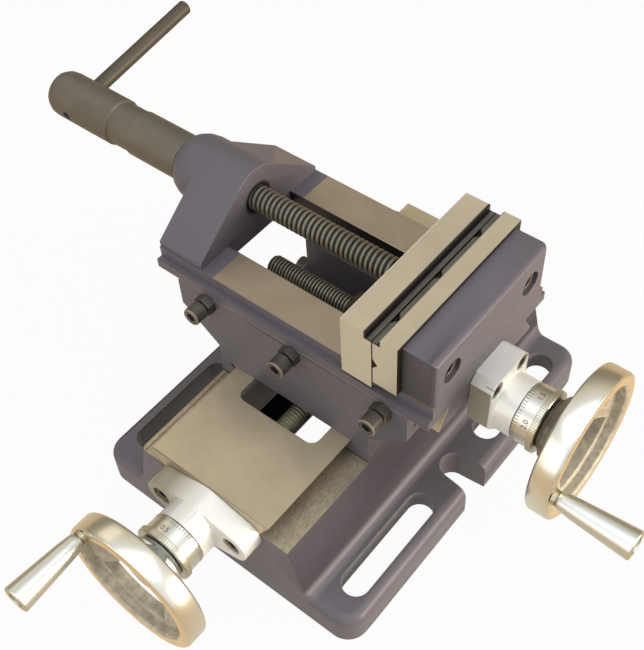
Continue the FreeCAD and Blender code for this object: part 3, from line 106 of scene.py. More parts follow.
# %% A new object in the scene
def add_object(name, data):
    """A new object that holds the data, in the scene, at the origin."""
    made = bpy.data.objects.new(name, data)
    bpy.context.scene.collection.objects.link(made)
    return made


# %% Camera
PICTURE = (644, 650)
FOCAL_PIXELS = 1092.931
PICTURE_CENTRE = (328.763, 323.818)
FILM_SIDE = 36.0
CAMERA_PLACE = Vector((0.237958, -0.285606, 0.535711))
CAMERA_TURN = Vector((2.343526, 0.803672, -0.339225))
right, down, ahead = Matrix.Rotation(CAMERA_TURN.length, 3, CAMERA_TURN.normalized())
camera_axes = Matrix((right, -down, -ahead)).transposed().to_4x4()
camera_data = bpy.data.cameras.new("camera")
camera_data.sensor_width = FILM_SIDE
camera_data.lens = FOCAL_PIXELS * FILM_SIDE / PICTURE[1]
camera_data.shift_x = (PICTURE[0] / 2 - PICTURE_CENTRE[0]) / PICTURE[1]
camera_data.shift_y = (PICTURE_CENTRE[1] - PICTURE[1] / 2) / PICTURE[1]
camera_data.clip_start = 0.01
camera = add_object("camera", camera_data)
camera.matrix_world = Matrix.Translation(CAMERA_PLACE) @ camera_axes
bpy.context.scene.camera = camera
print("lens", round(camera_data.lens, 2), "mm")

# %% [markdown]
# ## Writing node trees as sums
#
# A finish is a tree of small nodes, and so is a shape made by Geometry Nodes. Wired by
# hand they are hard to read, so a socket is wrapped in a class whose + - * / add the
# Math nodes. A finish then reads like the sentence that describes it, such as base
# colour plus a little dirt. Any other node comes from one method, node().


# %% A socket that can be added and multiplied
class Wire:
    """One output of a board's tree. Arithmetic on it adds Math nodes."""

    def __init__(self, board, socket):
        self.board = board
        self.socket = socket

    def sum_up(self, work, *others, **settings):
        inputs = dict(enumerate((self, *others)))
        return self.board.node("ShaderNodeMath", dict(operation=work, **settings), inputs)

    def __add__(self, other):
        return self.sum_up("ADD", other)

    __radd__ = __add__

    def __mul__(self, other):
        return self.sum_up("MULTIPLY", other)

    __rmul__ = __mul__

    def __sub__(self, other):
        return self.sum_up("SUBTRACT", other)

    def __rsub__(self, other):
        return self.board.node("ShaderNodeMath", dict(operation="SUBTRACT"), {0: other, 1: self})

    def __truediv__(self, other):
        return self.sum_up("DIVIDE", other)

    def abs(self):
        return self.sum_up("ABSOLUTE")

    def fraction(self):
        return self.sum_up("FRACT")

    def remainder(self, other):
        return self.sum_up("FLOORED_MODULO", other)

    def most(self, other):
        return self.sum_up("MAXIMUM", other)

    def root(self):
        return self.sum_up("SQRT")

    def bearing(self, other):
        """The angle, in radians, whose sine goes with this wire and whose cosine with the other."""
        return self.sum_up("ARCTAN2", other)

    def clamp(self):
        return self.sum_up("ADD", 0.0, use_clamp=True)

    def above(self, level, soft=0.0):
        """1 where the value is above the level, with a soft edge if one is asked for."""
        if not soft:
            return self.sum_up("GREATER_THAN", level)
        return ((self - (level - soft / 2)) * (1.0 / soft)).clamp()

    def below(self, level, soft=0.0):
        return 1.0 - self.above(level, soft)

    def between(self, low, high, soft=0.0):
        return self.above(low, soft) * self.below(high, soft)


# %% A board that nodes are put on
class Board:
    """Holds a node tree. node() is the one way to add any node."""

    def __init__(self, tree):
        self.tree = tree
        self.tree.nodes.clear()

    def node(self, kind, settings=None, inputs=None, output=0):
        made = self.tree.nodes.new(kind)
        for name, value in (settings or {}).items():
            if name == "stops":
                ramp = made.color_ramp
                while len(ramp.elements) < len(value):
                    ramp.elements.new(0.5)
                for element, (spot, colour) in zip(ramp.elements, value):
                    element.position = spot
                    element.color = (*colour, 1.0)
            else:
                setattr(made, name, value)
        for name, value in (inputs or {}).items():
            self.feed(made.inputs[name], value)
        return Wire(self, made.outputs[output])

    def feed(self, socket, value):
        if isinstance(value, Wire):
            self.tree.links.new(value.socket, socket)
        elif isinstance(value, tuple) and socket.type == "RGBA":
            socket.default_value = (*value, 1.0)
        else:
            socket.default_value = value

    def end(self, kind, wire):
        """Puts down the tree's last node and leads the wire to it."""
        last = self.tree.nodes.new(kind)
        self.tree.links.new(wire.socket, last.inputs[0])

    def split(self, wire):
        parts = self.node("ShaderNodeSeparateXYZ", None, {0: wire}).socket.node.outputs
        return tuple(Wire(self, part) for part in parts)

    def join(self, x, y, z):
        return self.node("ShaderNodeCombineXYZ", None, {0: x, 1: y, 2: z})

    def rays(self):
        """Three wires, each 1 for one kind of ray: the camera's, a reflection's and one through glass."""
        path = self.node("ShaderNodeLightPath").socket.node
        kinds = ("Is Camera Ray", "Is Glossy Ray", "Is Transmission Ray")
        return [Wire(self, path.outputs[kind]) for kind in kinds]


# %% A finish: one material's tree
class Finish(Board):
    """Builds a material, ending in done()."""

    def __init__(self, name):
        self.material = bpy.data.materials.new(name)
        self.material.use_nodes = True
        super().__init__(self.material.node_tree)
        self.place = self.node("ShaderNodeTexCoord", output="Object")
        self.x, self.y, self.z = self.split(self.place)
        self.faces = None

    def noise(self, scale, detail=3.0, rough=0.6, place=None, warp=0.0):
        return self.node("ShaderNodeTexNoise", None, {
            "Vector": place or self.place, "Scale": scale, "Detail": detail,
            "Roughness": rough, "Distortion": warp})

    def drawn_noise(self, pull, detail, rough):
        """Noise for lines and streaks: along each axis it is as fine as that axis's number says."""
        place = self.node("ShaderNodeVectorMath", dict(operation="MULTIPLY"), {0: self.place, 1: pull})
        return self.noise(1.0, detail, rough, place)

    def mix(self, amount, one, two):
        """Colour one where amount is 0, colour two where it is 1."""
        return self.node("ShaderNodeMix", dict(data_type="RGBA"), {0: amount, 6: one, 7: two}, output=2)

    def facing(self, axis):
        """How far the surface faces along x, y or z: 1 fully, 0 across it, -1 the other way."""
        if not self.faces:
            self.faces = self.split(self.node("ShaderNodeNewGeometry", output="True Normal"))
        return self.faces["xyz".index(axis)]

    def from_line(self, axis, place):
        """Distance from the line that runs through the place along x or y."""
        across = self.y - place[1] if axis == "x" else self.x - place[0]
        upward = self.z - place[2]
        return (across * across + upward * upward).root()

    def bump(self, height, strength, depth):
        return self.node("ShaderNodeBump", None, {"Height": height, "Strength": strength, "Distance": depth})

    def done(self, colour, rough, metal, normal=None):
        inputs = {"Base Color": colour, "Roughness": rough, "Metallic": metal}
        if normal:
            inputs["Normal"] = normal
        self.end("ShaderNodeOutputMaterial", self.node("ShaderNodeBsdfPrincipled", None, inputs))
        return self.material


def srgb(*screen):
    """A colour read off a screen, 0 to 255, as the light that it stands for."""
    shares = [v / 255.0 for v in screen]
    return tuple(v / 12.92 if v <= 0.04045 else ((v + 0.055) / 1.055) ** 2.4 for v in shares)


# %% A shape: one Geometry Nodes tree
class Shape(Board):
    """Builds a tree with named sizes, and grows plain meshes from it."""

    def __init__(self, name, **sizes):
        super().__init__(bpy.data.node_groups.new(name, "GeometryNodeTree"))
        face = self.tree.interface
        face.new_socket("Geometry", in_out="INPUT", socket_type="NodeSocketGeometry")
        self.sockets = {}
        for label, value in sizes.items():
            kind = "NodeSocketInt" if isinstance(value, int) else "NodeSocketFloat"
            self.sockets[label] = face.new_socket(label, in_out="INPUT", socket_type=kind)
            self.sockets[label].default_value = value
        self.sockets["finish"] = face.new_socket("finish", in_out="INPUT", socket_type="NodeSocketMaterial")
        face.new_socket("Geometry", in_out="OUTPUT", socket_type="NodeSocketGeometry")
        entry = self.tree.nodes.new("NodeGroupInput")
        self.size = {label: Wire(self, entry.outputs[label]) for label in self.sockets}

    def place(self):
        return self.split(self.node("GeometryNodeInputPosition"))

    def done(self, shape):
        """Every tree ends by making its instances real and setting the finish."""
        real = self.node("GeometryNodeRealizeInstances", None, {0: shape})
        inputs = {"Geometry": real, "Material": self.size["finish"]}
        self.end("NodeGroupOutput", self.node("GeometryNodeSetMaterial", None, inputs))

    def grow(self, name, finish, place, **sizes):
        """A plain mesh object from the tree, moved to its place."""
        seed = add_object(name + "_seed", bpy.data.meshes.new(name + "_seed"))
        work = seed.modifiers.new("shape", "NODES")
        work.node_group = self.tree
        for label, value in dict(sizes, finish=finish).items():
            work[self.sockets[label].identifier] = value
        seen = seed.evaluated_get(bpy.context.evaluated_depsgraph_get())
        mesh = bpy.data.meshes.new_from_object(seen)
        bpy.data.objects.remove(seed)
        mesh.name = name
        mesh.transform(place)
        return add_object(name, mesh)


# %% [markdown]
# ## Floor, lamps and sky
#
# The vise stands on a plain white table. The camera sees the table and the sky as
# white, while the light that they give stays at a plain level. Polished metal shows
# what stands round it, so it sees a room: a window behind the camera, olive and tan
# walls, and the pale table, which turns tan further out. One lamp low on the wheel
# side is warm, as the brownish end faces show, and a faint one lifts the left side.

# %% Floor
WHITE = (1.0, 1.0, 1.0)
FLOOR_PAINT = (0.66, 0.62, 0.58)
TABLE_NEAR = srgb(238, 231, 214)
TABLE_FAR = srgb(226, 196, 152)
TABLE_TURNS = 0.18
TABLE_TURN_SOFT = 0.14
SEEN_SHARE = 0.96
GLOSSY_SHARE = 0.85
FLOOR_REACH = 3.0
FLOOR_GAP = 0.2 * MM


def pale_floor():
    """Paint that the lamps light, and over it a glow that the camera and polished metal see."""
    finish = Finish("pale_floor")
    seen, glossy, clear = finish.rays()
    body = finish.node("ShaderNodeBsdfDiffuse", None, {"Color": FLOOR_PAINT})
    reach = (finish.x * finish.x + finish.y * finish.y).root()
    table = finish.mix(reach.above(TABLE_TURNS, TABLE_TURN_SOFT), TABLE_NEAR, TABLE_FAR)
    tone = finish.mix(glossy, WHITE, table)
    glow = finish.node("ShaderNodeEmission", None, {"Color": tone, "Strength": 1.0})
    share = (seen * SEEN_SHARE + glossy * GLOSSY_SHARE + clear * SEEN_SHARE).clamp()
    both = finish.node("ShaderNodeMixShader", None, {0: share, 1: body, 2: glow})
    finish.end("ShaderNodeOutputMaterial", both)
    return finish.material


floor_z = cad_low.z - FLOOR_GAP
corners = [(x * FLOOR_REACH, y * FLOOR_REACH, floor_z) for x, y in ((-1, -1), (1, -1), (1, 1), (-1, 1))]
floor_mesh = bpy.data.meshes.new("floor")
floor_mesh.from_pydata(corners, [], [(0, 1, 2, 3)])
floor_mesh.materials.append(pale_floor())
floor = add_object("floor", floor_mesh)
floor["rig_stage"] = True
print("floor at", round(floor_z / MM, 2), "mm")

# %% Sky
WINDOW_SIDE = Vector((0.36, -0.44, 0.82))
ROOM = [
    (0.0, srgb(92, 86, 70)), (0.42, srgb(156, 147, 124)), (0.64, srgb(230, 219, 194)),
    (0.8, srgb(238, 240, 240)), (0.92, srgb(250, 253, 255))]
SKY_TINT = (0.94, 0.95, 1.0)
SKY_LEVEL = 0.42

world = bpy.data.worlds.new("room")
bpy.context.scene.world = world
world.use_nodes = True
sky = Board(world.node_tree)
seen, glossy, clear = sky.rays()
x, y, z = sky.split(sky.node("ShaderNodeTexCoord", output="Generated"))
windowward = x * WINDOW_SIDE.x + y * WINDOW_SIDE.y + z * WINDOW_SIDE.z
room = sky.node("ShaderNodeValToRGB", dict(stops=ROOM), {0: windowward * 0.5 + 0.5})
plain = sky.node("ShaderNodeBackground", None, {"Color": SKY_TINT, "Strength": SKY_LEVEL})
shine = sky.node("ShaderNodeBackground", None, {"Color": room, "Strength": 1.0})
white = sky.node("ShaderNodeBackground", None, {"Color": WHITE, "Strength": 1.0})
light = sky.node("ShaderNodeMixShader", None, {0: glossy, 1: plain, 2: shine})
both = sky.node("ShaderNodeMixShader", None, {0: seen.most(clear), 1: light, 2: white})
sky.end("ShaderNodeOutputWorld", both)
print("sky nodes", len(sky.tree.nodes))

# %% Lamps, each with its place, width, watts and colour
LAMPS = {
    "window_lamp": ((0.3, -0.25, 1.35), 1.7, 6.4, (0.95, 0.97, 1.0)),
    "front_lamp": ((-0.25, -1.35, 0.55), 1.4, 4.2, (1.0, 0.95, 0.88)),
    "side_lamp": ((1.3, 0.35, 0.32), 0.6, 15.0, (1.0, 0.86, 0.72)),
    "left_lamp": ((-0.9, 0.1, 0.8), 0.7, 0.6, (1.0, 0.92, 0.82)),
}
LAMP_AIM = Vector((0.0, 0.0, 0.08))
LAMP_HEIGHT_SHARE = 0.7


def soft_lamp(name, place, width, watts, colour):
    """A wide lamp that looks at the vise, so its shadows are soft."""
    data = bpy.data.lights.new(name, "AREA")
    data.shape = "RECTANGLE"
    data.size = width
    data.size_y = width * LAMP_HEIGHT_SHARE
    data.energy = watts
    data.color = colour
    lamp = add_object(name, data)
    lamp.location = place
    lamp.rotation_euler = (LAMP_AIM - Vector(place)).to_track_quat("-Z", "Y").to_euler()


for name, values in LAMPS.items():
    soft_lamp(name, *values)
bpy.context.scene.view_settings.view_transform = "Standard"
print("lamps", list(LAMPS))

# %% [markdown]
# ## Grey paint on cast iron
#
# Sand-cast iron keeps a faint unevenness under its paint. The paint is a cool grey with a
# little purple, half glossy, and its texture is the fine orange peel of a spray gun. The
# faces that slide or seat were milled after painting, so they are bare metal, scuffed
# where the saddle runs. Shade is painted into the colour too: a deeper grey on the base's
# sideways slopes and under its dovetail, and near black in the deep places, between the
# rails, round the clamp screw and along the saddle's foot. One finish holds it all: masks,
# worked out from the place and the face's direction, say where a cutter has been and where
# shade is painted. The worn edges, where paint has rubbed thin, are a finish of their own,
# which the rounding puts on the narrow faces that it makes.

# %% Places on the castings
SKIN = 0.15 * MM
FLANGE_Z = 20.0 * MM
LEDGE_Z = 57.5 * MM
SADDLE_TOP_Z = 117.6 * MM
RAIL_Z = 129.7 * MM
RAIL_START_X = -50.3 * MM
WELL_HALF = (26.6 * MM, 60.0 * MM)
CLAMP_PLACE = (0.0, 4.0 * MM, 145.0 * MM)
# Of a facing, which runs from -1 to 1: a flat or upright face looks straight along an axis above this
STRAIGHT = 0.7
print("heights in mm", [round(v / MM, 1) for v in (FLANGE_Z, LEDGE_Z, SADDLE_TOP_Z, RAIL_Z, CLAMP_PLACE[2])])

# %% Bare metal as a cutter leaves it
CUTTER_LAY = (60.0, 2600.0, 60.0)


def milled(finish, tones, lay):
    """(colour, roughness, height) of bare metal. lay says how fine its lines are along each axis."""
    lines = finish.drawn_noise(lay, detail=4.0, rough=0.7)
    cloud = finish.noise(38.0, detail=4.0, warp=0.6)
    colour = finish.mix((lines * 0.35 + cloud * 0.9 - 0.12).clamp(), *tones)
    return colour, 0.33 + 0.2 * cloud + 0.08 * lines, lines * 0.5


# %% Painted castings
PAINT = srgb(101, 96, 104)
PAINT_LIGHT = srgb(111, 106, 112)
# Painted shade: a deeper grey on faces turned away from the light
PAINT_IN_SHADE = srgb(80, 75, 83)
# Painted shade, near black, where the shade is deepest
PAINT_IN_DARK_SHADE = srgb(46, 42, 45)
SCUFFED = srgb(98, 90, 82)


def paint(finish):
    """(colour, roughness, height) of the grey paint."""
    broad = finish.noise(22.0)
    fine = finish.noise(210.0)
    peel = finish.noise(900.0, detail=2.0, rough=0.5)
    colour = finish.mix((broad * 1.1 + fine * 0.3 - 0.2).clamp(), PAINT, PAINT_LIGHT)
    return colour, 0.38 + 0.16 * fine, peel * 0.35 + fine * 0.65


def casting(name, cutter, shade, dark_shade, metal_tones):
    """Paint, metal where cutter(finish) says so, and painted shade: deeper grey where shade does and near
    black where dark_shade does.
    """
    finish = Finish(name)
    bare = cutter(finish)
    dark_share = dark_shade(finish)
    skin_colour, skin_rough, skin_height = paint(finish)
    skin_colour = finish.mix(shade(finish), skin_colour, PAINT_IN_SHADE)
    skin_colour = finish.mix(dark_share, skin_colour, PAINT_IN_DARK_SHADE)
    metal_colour, metal_rough, metal_height = milled(finish, metal_tones, CUTTER_LAY)
    scuff = finish.drawn_noise((950.0, 330.0, 950.0), detail=5.0, rough=0.75).above(0.5, 0.3)
    on_ledge = finish.z.between(LEDGE_Z - SKIN, LEDGE_Z + SKIN)
    metal_colour = finish.mix(scuff * on_ledge * 0.5, metal_colour, SCUFFED)
    colour = finish.mix(bare, skin_colour, metal_colour)
    rough = skin_rough * (1.0 - bare) + metal_rough * bare
    height = skin_height * (1.0 - bare) + metal_height * (bare * 0.4)
    # Where dark shade is painted the metal is dark too, so it mirrors almost nothing.
    metal = (bare * 0.8).most(dark_share * 0.9)
    relief = finish.bump(height, strength=0.3, depth=0.12 * MM)
    return finish.done(colour, rough, metal, relief)


# %% Worn edges of the castings
RUBBED = (srgb(104, 99, 105), srgb(126, 120, 124))
CHIPPED = srgb(160, 150, 134)


def worn_paint(name, cutter, shade, dark_shade, metal_tone):
    """A rubbed edge: worn paint, or metal where cutter(finish) says so."""
    finish = Finish(name)
    chip = finish.noise(420.0, rough=0.7).above(0.66, 0.06)
    rub = finish.noise(60.0)
    colour = finish.mix(chip, finish.mix(rub, *RUBBED), CHIPPED)
    colour = finish.mix(shade(finish), colour, PAINT_IN_SHADE)
    colour = finish.mix(dark_shade(finish), colour, PAINT_IN_DARK_SHADE)
    bare = cutter(finish)
    return finish.done(finish.mix(bare, colour, metal_tone), 0.36 + 0.2 * rub, (chip + bare).clamp() * 0.3)


# %% Bare and dark places of the base
OVERHANG = -0.3
SIDEWAYS = 0.3
LEFTWARD = -0.5
SLOPE_SOFT = 4.0 * MM
OIL_Z = 65.0 * MM
OIL_SOFT = 5.0 * MM
LEFT_SLOT_X = -50.0 * MM
SLOTS_HALF_Y = 100.0 * MM


def in_well(finish):
    """1 in the nut's way, which runs down through the base."""
    return finish.x.abs().below(WELL_HALF[0]) * finish.y.abs().below(WELL_HALF[1])


def base_cutter(finish):
    """The underside, and all from the ledges up but the dovetail's flanks and the walls of the nut's way."""
    upward = finish.facing("z")
    wall = in_well(finish) * upward.below(STRAIGHT)
    above_ledges = finish.z.above(LEDGE_Z - SKIN) * (1.0 - wall) * upward.above(OVERHANG)
    return (above_ledges + finish.z.below(SKIN)).clamp()


def base_shade(finish):
    """Painted shade: the base's long slopes that face sideways, and the flanks above the ledges that face
    down under the dovetail's overhang.
    """
    sideways = finish.facing("x").abs().above(SIDEWAYS, 0.1)
    slope = sideways * finish.z.between(FLANGE_Z + SLOPE_SOFT, LEDGE_Z, SLOPE_SOFT)
    flank = finish.z.above(LEDGE_Z) * finish.facing("z").below(OVERHANG)
    return (slope + flank).clamp()


def base_dark_shade(finish):
    """Painted shade, near black: low in the nut's way and on the wall of the left slot."""
    deep = in_well(finish) * finish.z.below(OIL_Z, OIL_SOFT)
    left = finish.x.below(LEFT_SLOT_X) * finish.y.abs().below(SLOTS_HALF_Y)
    slot = left * finish.facing("x").above(LEFTWARD) * finish.z.below(FLANGE_Z - SKIN)
    return deep.most(slot * 0.8) * 0.95


# %% Bare and dark places of the saddle
DOWNWARD = -0.5
FOOT_LINE = 1.1 * MM
FOOT_SOFT = 0.3 * MM


def saddle_cutter(finish):
    """The top, and the sliding faces underneath."""
    under = finish.z.below(LEDGE_Z + SKIN * 3) * finish.facing("z").below(DOWNWARD)
    return (finish.z.above(SADDLE_TOP_Z - SKIN) + under).clamp()


def saddle_dark_shade(finish):
    """A painted contact shadow: a thin dark line along the saddle's foot."""
    return finish.z.between(LEDGE_Z, LEDGE_Z + FOOT_LINE, FOOT_SOFT) * 0.9


def no_shade(finish):
    """For a casting whose paint is the same all over."""
    return 0.0


# %% Bare and dark places of the vise body
LEVEL = 0.8
RAGGED = 0.8 * MM
RAIL_EDGE = 0.7 * MM
NEAR_RAIL_Y = -20.0 * MM
FAR_WALL_Y = (25.0 * MM, 31.0 * MM)
TOWER_FACE_X = (-62.0 * MM, -55.0 * MM)
COLLAR_R = 9.4 * MM
COLLAR_SOFT = 1.6 * MM
BLOCK_X = 60.0 * MM


def body_cutter(finish):
    """The tops of the rails up to a ragged line of paint, and the dovetail underneath."""
    ragged = finish.x + (finish.noise(300.0, rough=0.55) - 0.5) * RAGGED
    rail = finish.z.between(RAIL_Z - SKIN, RAIL_Z + SKIN) * finish.facing("z").above(LEVEL)
    dovetail = finish.z.below(SADDLE_TOP_Z + SKIN * 3) * finish.facing("x").abs().below(STRAIGHT)
    return (rail * ragged.above(RAIL_START_X) + dovetail).clamp()


def rail_edge_highlight(finish):
    """The near rail's outer edge, lit with a painted highlight, besides the faces that a cutter has been
    over.
    """
    near_rail = finish.z.between(RAIL_Z - RAIL_EDGE, RAIL_Z + SKIN) * finish.y.below(NEAR_RAIL_Y)
    return (near_rail * finish.x.above(RAIL_START_X) + body_cutter(finish)).clamp()


def body_dark_shade(finish):
    """Painted shade, near black: on the far wall between the rails, in a ring round the clamp screw and,
    fainter, on the block's near end.
    """
    nearward = finish.facing("y").below(-STRAIGHT)
    wall = nearward * finish.y.between(*FAR_WALL_Y) * finish.z.below(RAIL_Z)
    round_screw = finish.from_line("x", CLAMP_PLACE).below(COLLAR_R, COLLAR_SOFT)
    collar = round_screw * finish.x.between(*TOWER_FACE_X)
    end = nearward * finish.z.above(RAIL_Z) * finish.x.above(BLOCK_X)
    return (wall + collar).clamp().most(end * 0.4) * 0.9


# %% Finishes of the castings
BASE_METAL = (srgb(172, 160, 137), srgb(210, 196, 169))
SADDLE_METAL = (srgb(126, 116, 100), srgb(154, 142, 124))
BODY_METAL = (srgb(152, 138, 121), srgb(184, 168, 150))
# A painted highlight on the body's bare edges, chiefly the near rail's outer edge
RAIL_HIGHLIGHT = srgb(222, 208, 180)
finishes = {
    "base_casting": casting("base_casting_paint", base_cutter, base_shade, base_dark_shade, BASE_METAL),
    "saddle_casting": casting("saddle_casting_paint", saddle_cutter, no_shade, saddle_dark_shade, SADDLE_METAL),
    "vise_body_casting": casting("vise_body_casting_paint", body_cutter, no_shade, body_dark_shade, BODY_METAL),
}
base_edge, saddle_edge = BASE_METAL[0], SADDLE_METAL[0]
worn_edges = {
    "base_casting": worn_paint("base_casting_edge", base_cutter, base_shade, base_dark_shade, base_edge),
    "saddle_casting": worn_paint("saddle_casting_edge", saddle_cutter, no_shade, saddle_dark_shade, saddle_edge),
    "vise_body_casting": worn_paint("vise_body_casting_edge", rail_edge_highlight, no_shade, body_dark_shade, RAIL_HIGHLIGHT),
}
print("casting finishes", [finish.name for finish in (*finishes.values(), *worn_edges.values())])

# %% [markdown]
# ## Ground and milled steel
#
# The jaws are ground bright and carry fine lines across them; their ends and edges are
# painted lighter as a highlight. Cutting oil has dried dark in the step along the jaws'
# meeting edge. Shade is painted darker in the step's corners, and black in the grooves and
# behind the fixed plate, against the block. A dark line follows the rim of the seam only,
# so the gripping faces are bright when the jaws open. The gibs, the pins and the keeper
# plate are plain milled steel, seldom seen.

# %% Places and tones of the jaws
JAW_SEAM_X = 53.0 * MM
PLATE_BACK_X = 66.0 * MM
JAW_STEP_HALF = 4.6 * MM
JAW_STEP_Z = 158.2 * MM
JAW_TOP_Z = 162.0 * MM
STEP_FLOOR_HALF = 2.7 * MM
GROOVE_DEEP = 3.3 * MM
SEAM_HALF = 0.4 * MM
RIM_FROM_Y = 49.2 * MM
RIM_FROM_Z = 157.4 * MM
JAW_TONES = (srgb(190, 180, 157), srgb(216, 205, 181))
# Painted light: the jaws' ends are lighter
JAW_END_LIT_TONE = srgb(236, 230, 212)
OIL_TONES = (srgb(48, 45, 42), srgb(146, 139, 127))
SHADE_IN_GROOVES = srgb(17, 15, 14)
SHADE_IN_STEP_CORNERS = srgb(14, 12, 11)
SHADE_BEHIND_PLATE = srgb(22, 19, 20)
OIL_AND_SHADE_ON_EDGES = srgb(30, 28, 26)
RUBBED_AND_HIGHLIGHT_TONES = (srgb(250, 247, 236), srgb(255, 255, 250))


def from_seam(finish):
    """Distance from the plane in which the closed jaws meet."""
    return (finish.x - JAW_SEAM_X).abs()


def jaw_shade_and_seam(finish):
    """Painted shade in the jaws' grooves, and a dark joint line along the outer rim of the seam between them,
    from 0 to 1.
    """
    slanted = [finish.facing(axis).abs().between(0.2, 0.95) for axis in "zy"]
    groove = from_seam(finish).below(GROOVE_DEEP) * slanted[0].most(slanted[1])
    seam = from_seam(finish).below(SEAM_HALF, 0.3 * MM)
    rim = (finish.y - CLAMP_PLACE[1]).abs().above(RIM_FROM_Y).most(finish.z.above(RIM_FROM_Z))
    return groove.most(seam * rim) * 0.95


# %% Jaw steel
def jaw_steel():
    """Ground steel with oil in the step, and painted light and shade: lighter ends, black behind the plate,
    darker step corners and black grooves.
    """
    finish = Finish("ground_jaw_steel")
    colour, rough, height = milled(finish, JAW_TONES, (2600.0, 46.0, 60.0))
    colour = finish.mix(finish.facing("y").abs().above(STRAIGHT) * 0.6, colour, JAW_END_LIT_TONE)
    # Painted shade: black on the plate's back, in the gap against the block
    behind = finish.facing("x").above(STRAIGHT) * finish.x.above(PLATE_BACK_X)
    colour = finish.mix(behind * 0.95, colour, SHADE_BEHIND_PLATE)
    step = from_seam(finish)
    oily = step.below(JAW_STEP_HALF, 0.6 * MM) * finish.z.above(JAW_STEP_Z)
    streak = finish.drawn_noise((900.0, 60.0, 300.0), detail=4.0, rough=0.6)
    # Painted shade: darker in the step's corners and on its walls, over the oil
    corner = step.above(STEP_FLOOR_HALF, 0.5 * MM).most(finish.facing("z").below(STRAIGHT))
    oil = finish.mix(corner * 0.92, finish.mix(streak, *OIL_TONES), SHADE_IN_STEP_CORNERS)
    colour = finish.mix(jaw_shade_and_seam(finish), finish.mix(oily, colour, oil), SHADE_IN_GROOVES)
    rough = rough * (1.0 - oily) + oily * 0.4
    relief = finish.bump(height, strength=0.18, depth=0.05 * MM)
    return finish.done(colour, rough, 0.62 - oily * 0.4, relief)


def bright_edge():
    """The jaws' edges: rubbed bright and painted lighter still as a highlight, but dark in the oily step, in
    the painted shade of the grooves and on the seam line.
    """
    finish = Finish("bright_steel_edge")
    rub = finish.noise(160.0)
    oily = from_seam(finish).below(JAW_STEP_HALF + 0.3 * MM) * finish.z.between(JAW_STEP_Z, JAW_TOP_Z)
    colour = finish.mix(oily.most(jaw_shade_and_seam(finish)), finish.mix(rub, *RUBBED_AND_HIGHLIGHT_TONES), OIL_AND_SHADE_ON_EDGES)
    return finish.done(colour, 0.3 + 0.14 * rub, 0.1)


def plain_metal(name, tones, lay, metal):
    """Metal as a cutter leaves it, and nothing on it."""
    finish = Finish(name)
    colour, rough, height = milled(finish, tones, lay)
    relief = finish.bump(height, strength=0.2, depth=0.05 * MM)
    return finish.done(colour, rough, metal, relief)


jaw_finish = jaw_steel()
edge_finish = bright_edge()
STEEL_TONES = (srgb(140, 134, 120), srgb(190, 180, 160))
steel_finish = plain_metal("milled_steel", STEEL_TONES, (1500.0, 90.0, 90.0), 0.95)
print("steel finishes", [finish.name for finish in (jaw_finish, edge_finish, steel_finish)])

# %% [markdown]
# ## Chrome, rough casting, black oxide and bronze
#
# The wheels' rims, the handles and the dials are polished and plated, and the brackets
# have a white satin plate with a darker olive patch each: on the lower bracket towards
# its left end, and on the upper bracket as painted shade on its side towards the lower
# wheel. Inside its rim a wheel is left as cast, grey and grainy. The clamp screw's head
# and lever were blackened in oil, which lets rust through as brown freckles. The lead
# nuts are bronze, dark with old oil and painted darker still as the shade inside the vise.


# %% Polished plate
HAZE_TONE = srgb(206, 198, 178)


def chrome(name, tone, polish):
    """Plated metal with a faint haze. The lower polish is, the sharper it mirrors the room."""
    finish = Finish(name)
    haze = finish.noise(34.0, detail=4.0, warp=0.4)
    pits = finish.noise(1500.0, detail=2.0, rough=0.5)
    colour = finish.mix((haze * 1.3 - 0.35).clamp() * 0.5, tone, HAZE_TONE)
    relief = finish.bump(pits, strength=0.02, depth=0.04 * MM)
    return finish.done(colour, polish + 0.1 * haze, 1.0, relief)


chrome_finish = chrome("polished_chrome", srgb(230, 228, 220), 0.2)
# The rim's turned face is tinted warm: a painted reflection of warm surroundings.
face_finish = chrome("turned_rim_face", srgb(250, 232, 200), 0.34)
handle_finish = chrome("satin_handle", srgb(214, 219, 218), 0.29)
dial_finish = chrome("turned_dial", srgb(208, 209, 204), 0.24)
stud_finish = chrome("stud_steel", srgb(176, 170, 144), 0.34)
polished = (chrome_finish, face_finish, handle_finish, dial_finish, stud_finish)
print("polished", [finish.name for finish in polished])

# %% Satin plate of the brackets
SATIN_TONES = (srgb(243, 242, 232), srgb(255, 255, 250))
DARK_OLIVE_PATCH = srgb(158, 151, 127)
NEARWARD = -0.75
EAR_X = -12.0 * MM
EAR_SOFT = 16.0 * MM
UPPER_BRACKET_X = (84.0 * MM, 97.0 * MM)


def satin_plate(name, patch_mask):
    """White satin plating, with a darker olive patch where patch_mask(finish) says so."""
    finish = Finish(name)
    haze = finish.noise(60.0, detail=4.0)
    pits = finish.noise(700.0)
    colour = finish.mix(patch_mask(finish), finish.mix(haze, *SATIN_TONES), DARK_OLIVE_PATCH)
    relief = finish.bump(pits, strength=0.15, depth=0.08 * MM)
    return finish.done(colour, 0.26 + 0.14 * haze, 0.22, relief)


def left_ear(finish):
    """The lower bracket's left end, up to its barrel."""
    return finish.x.below(EAR_X, EAR_SOFT) * 0.9


def near_side(finish):
    """The upper bracket's side that faces the lower wheel: painted shade."""
    return finish.facing("y").below(NEARWARD, 0.3) * finish.x.between(*UPPER_BRACKET_X) * 0.9


bracket_finishes = {
    "upper": satin_plate("upper_satin_plate", near_side),
    "lower": satin_plate("lower_satin_plate", left_ear),
}
print("brackets", list(bracket_finishes))


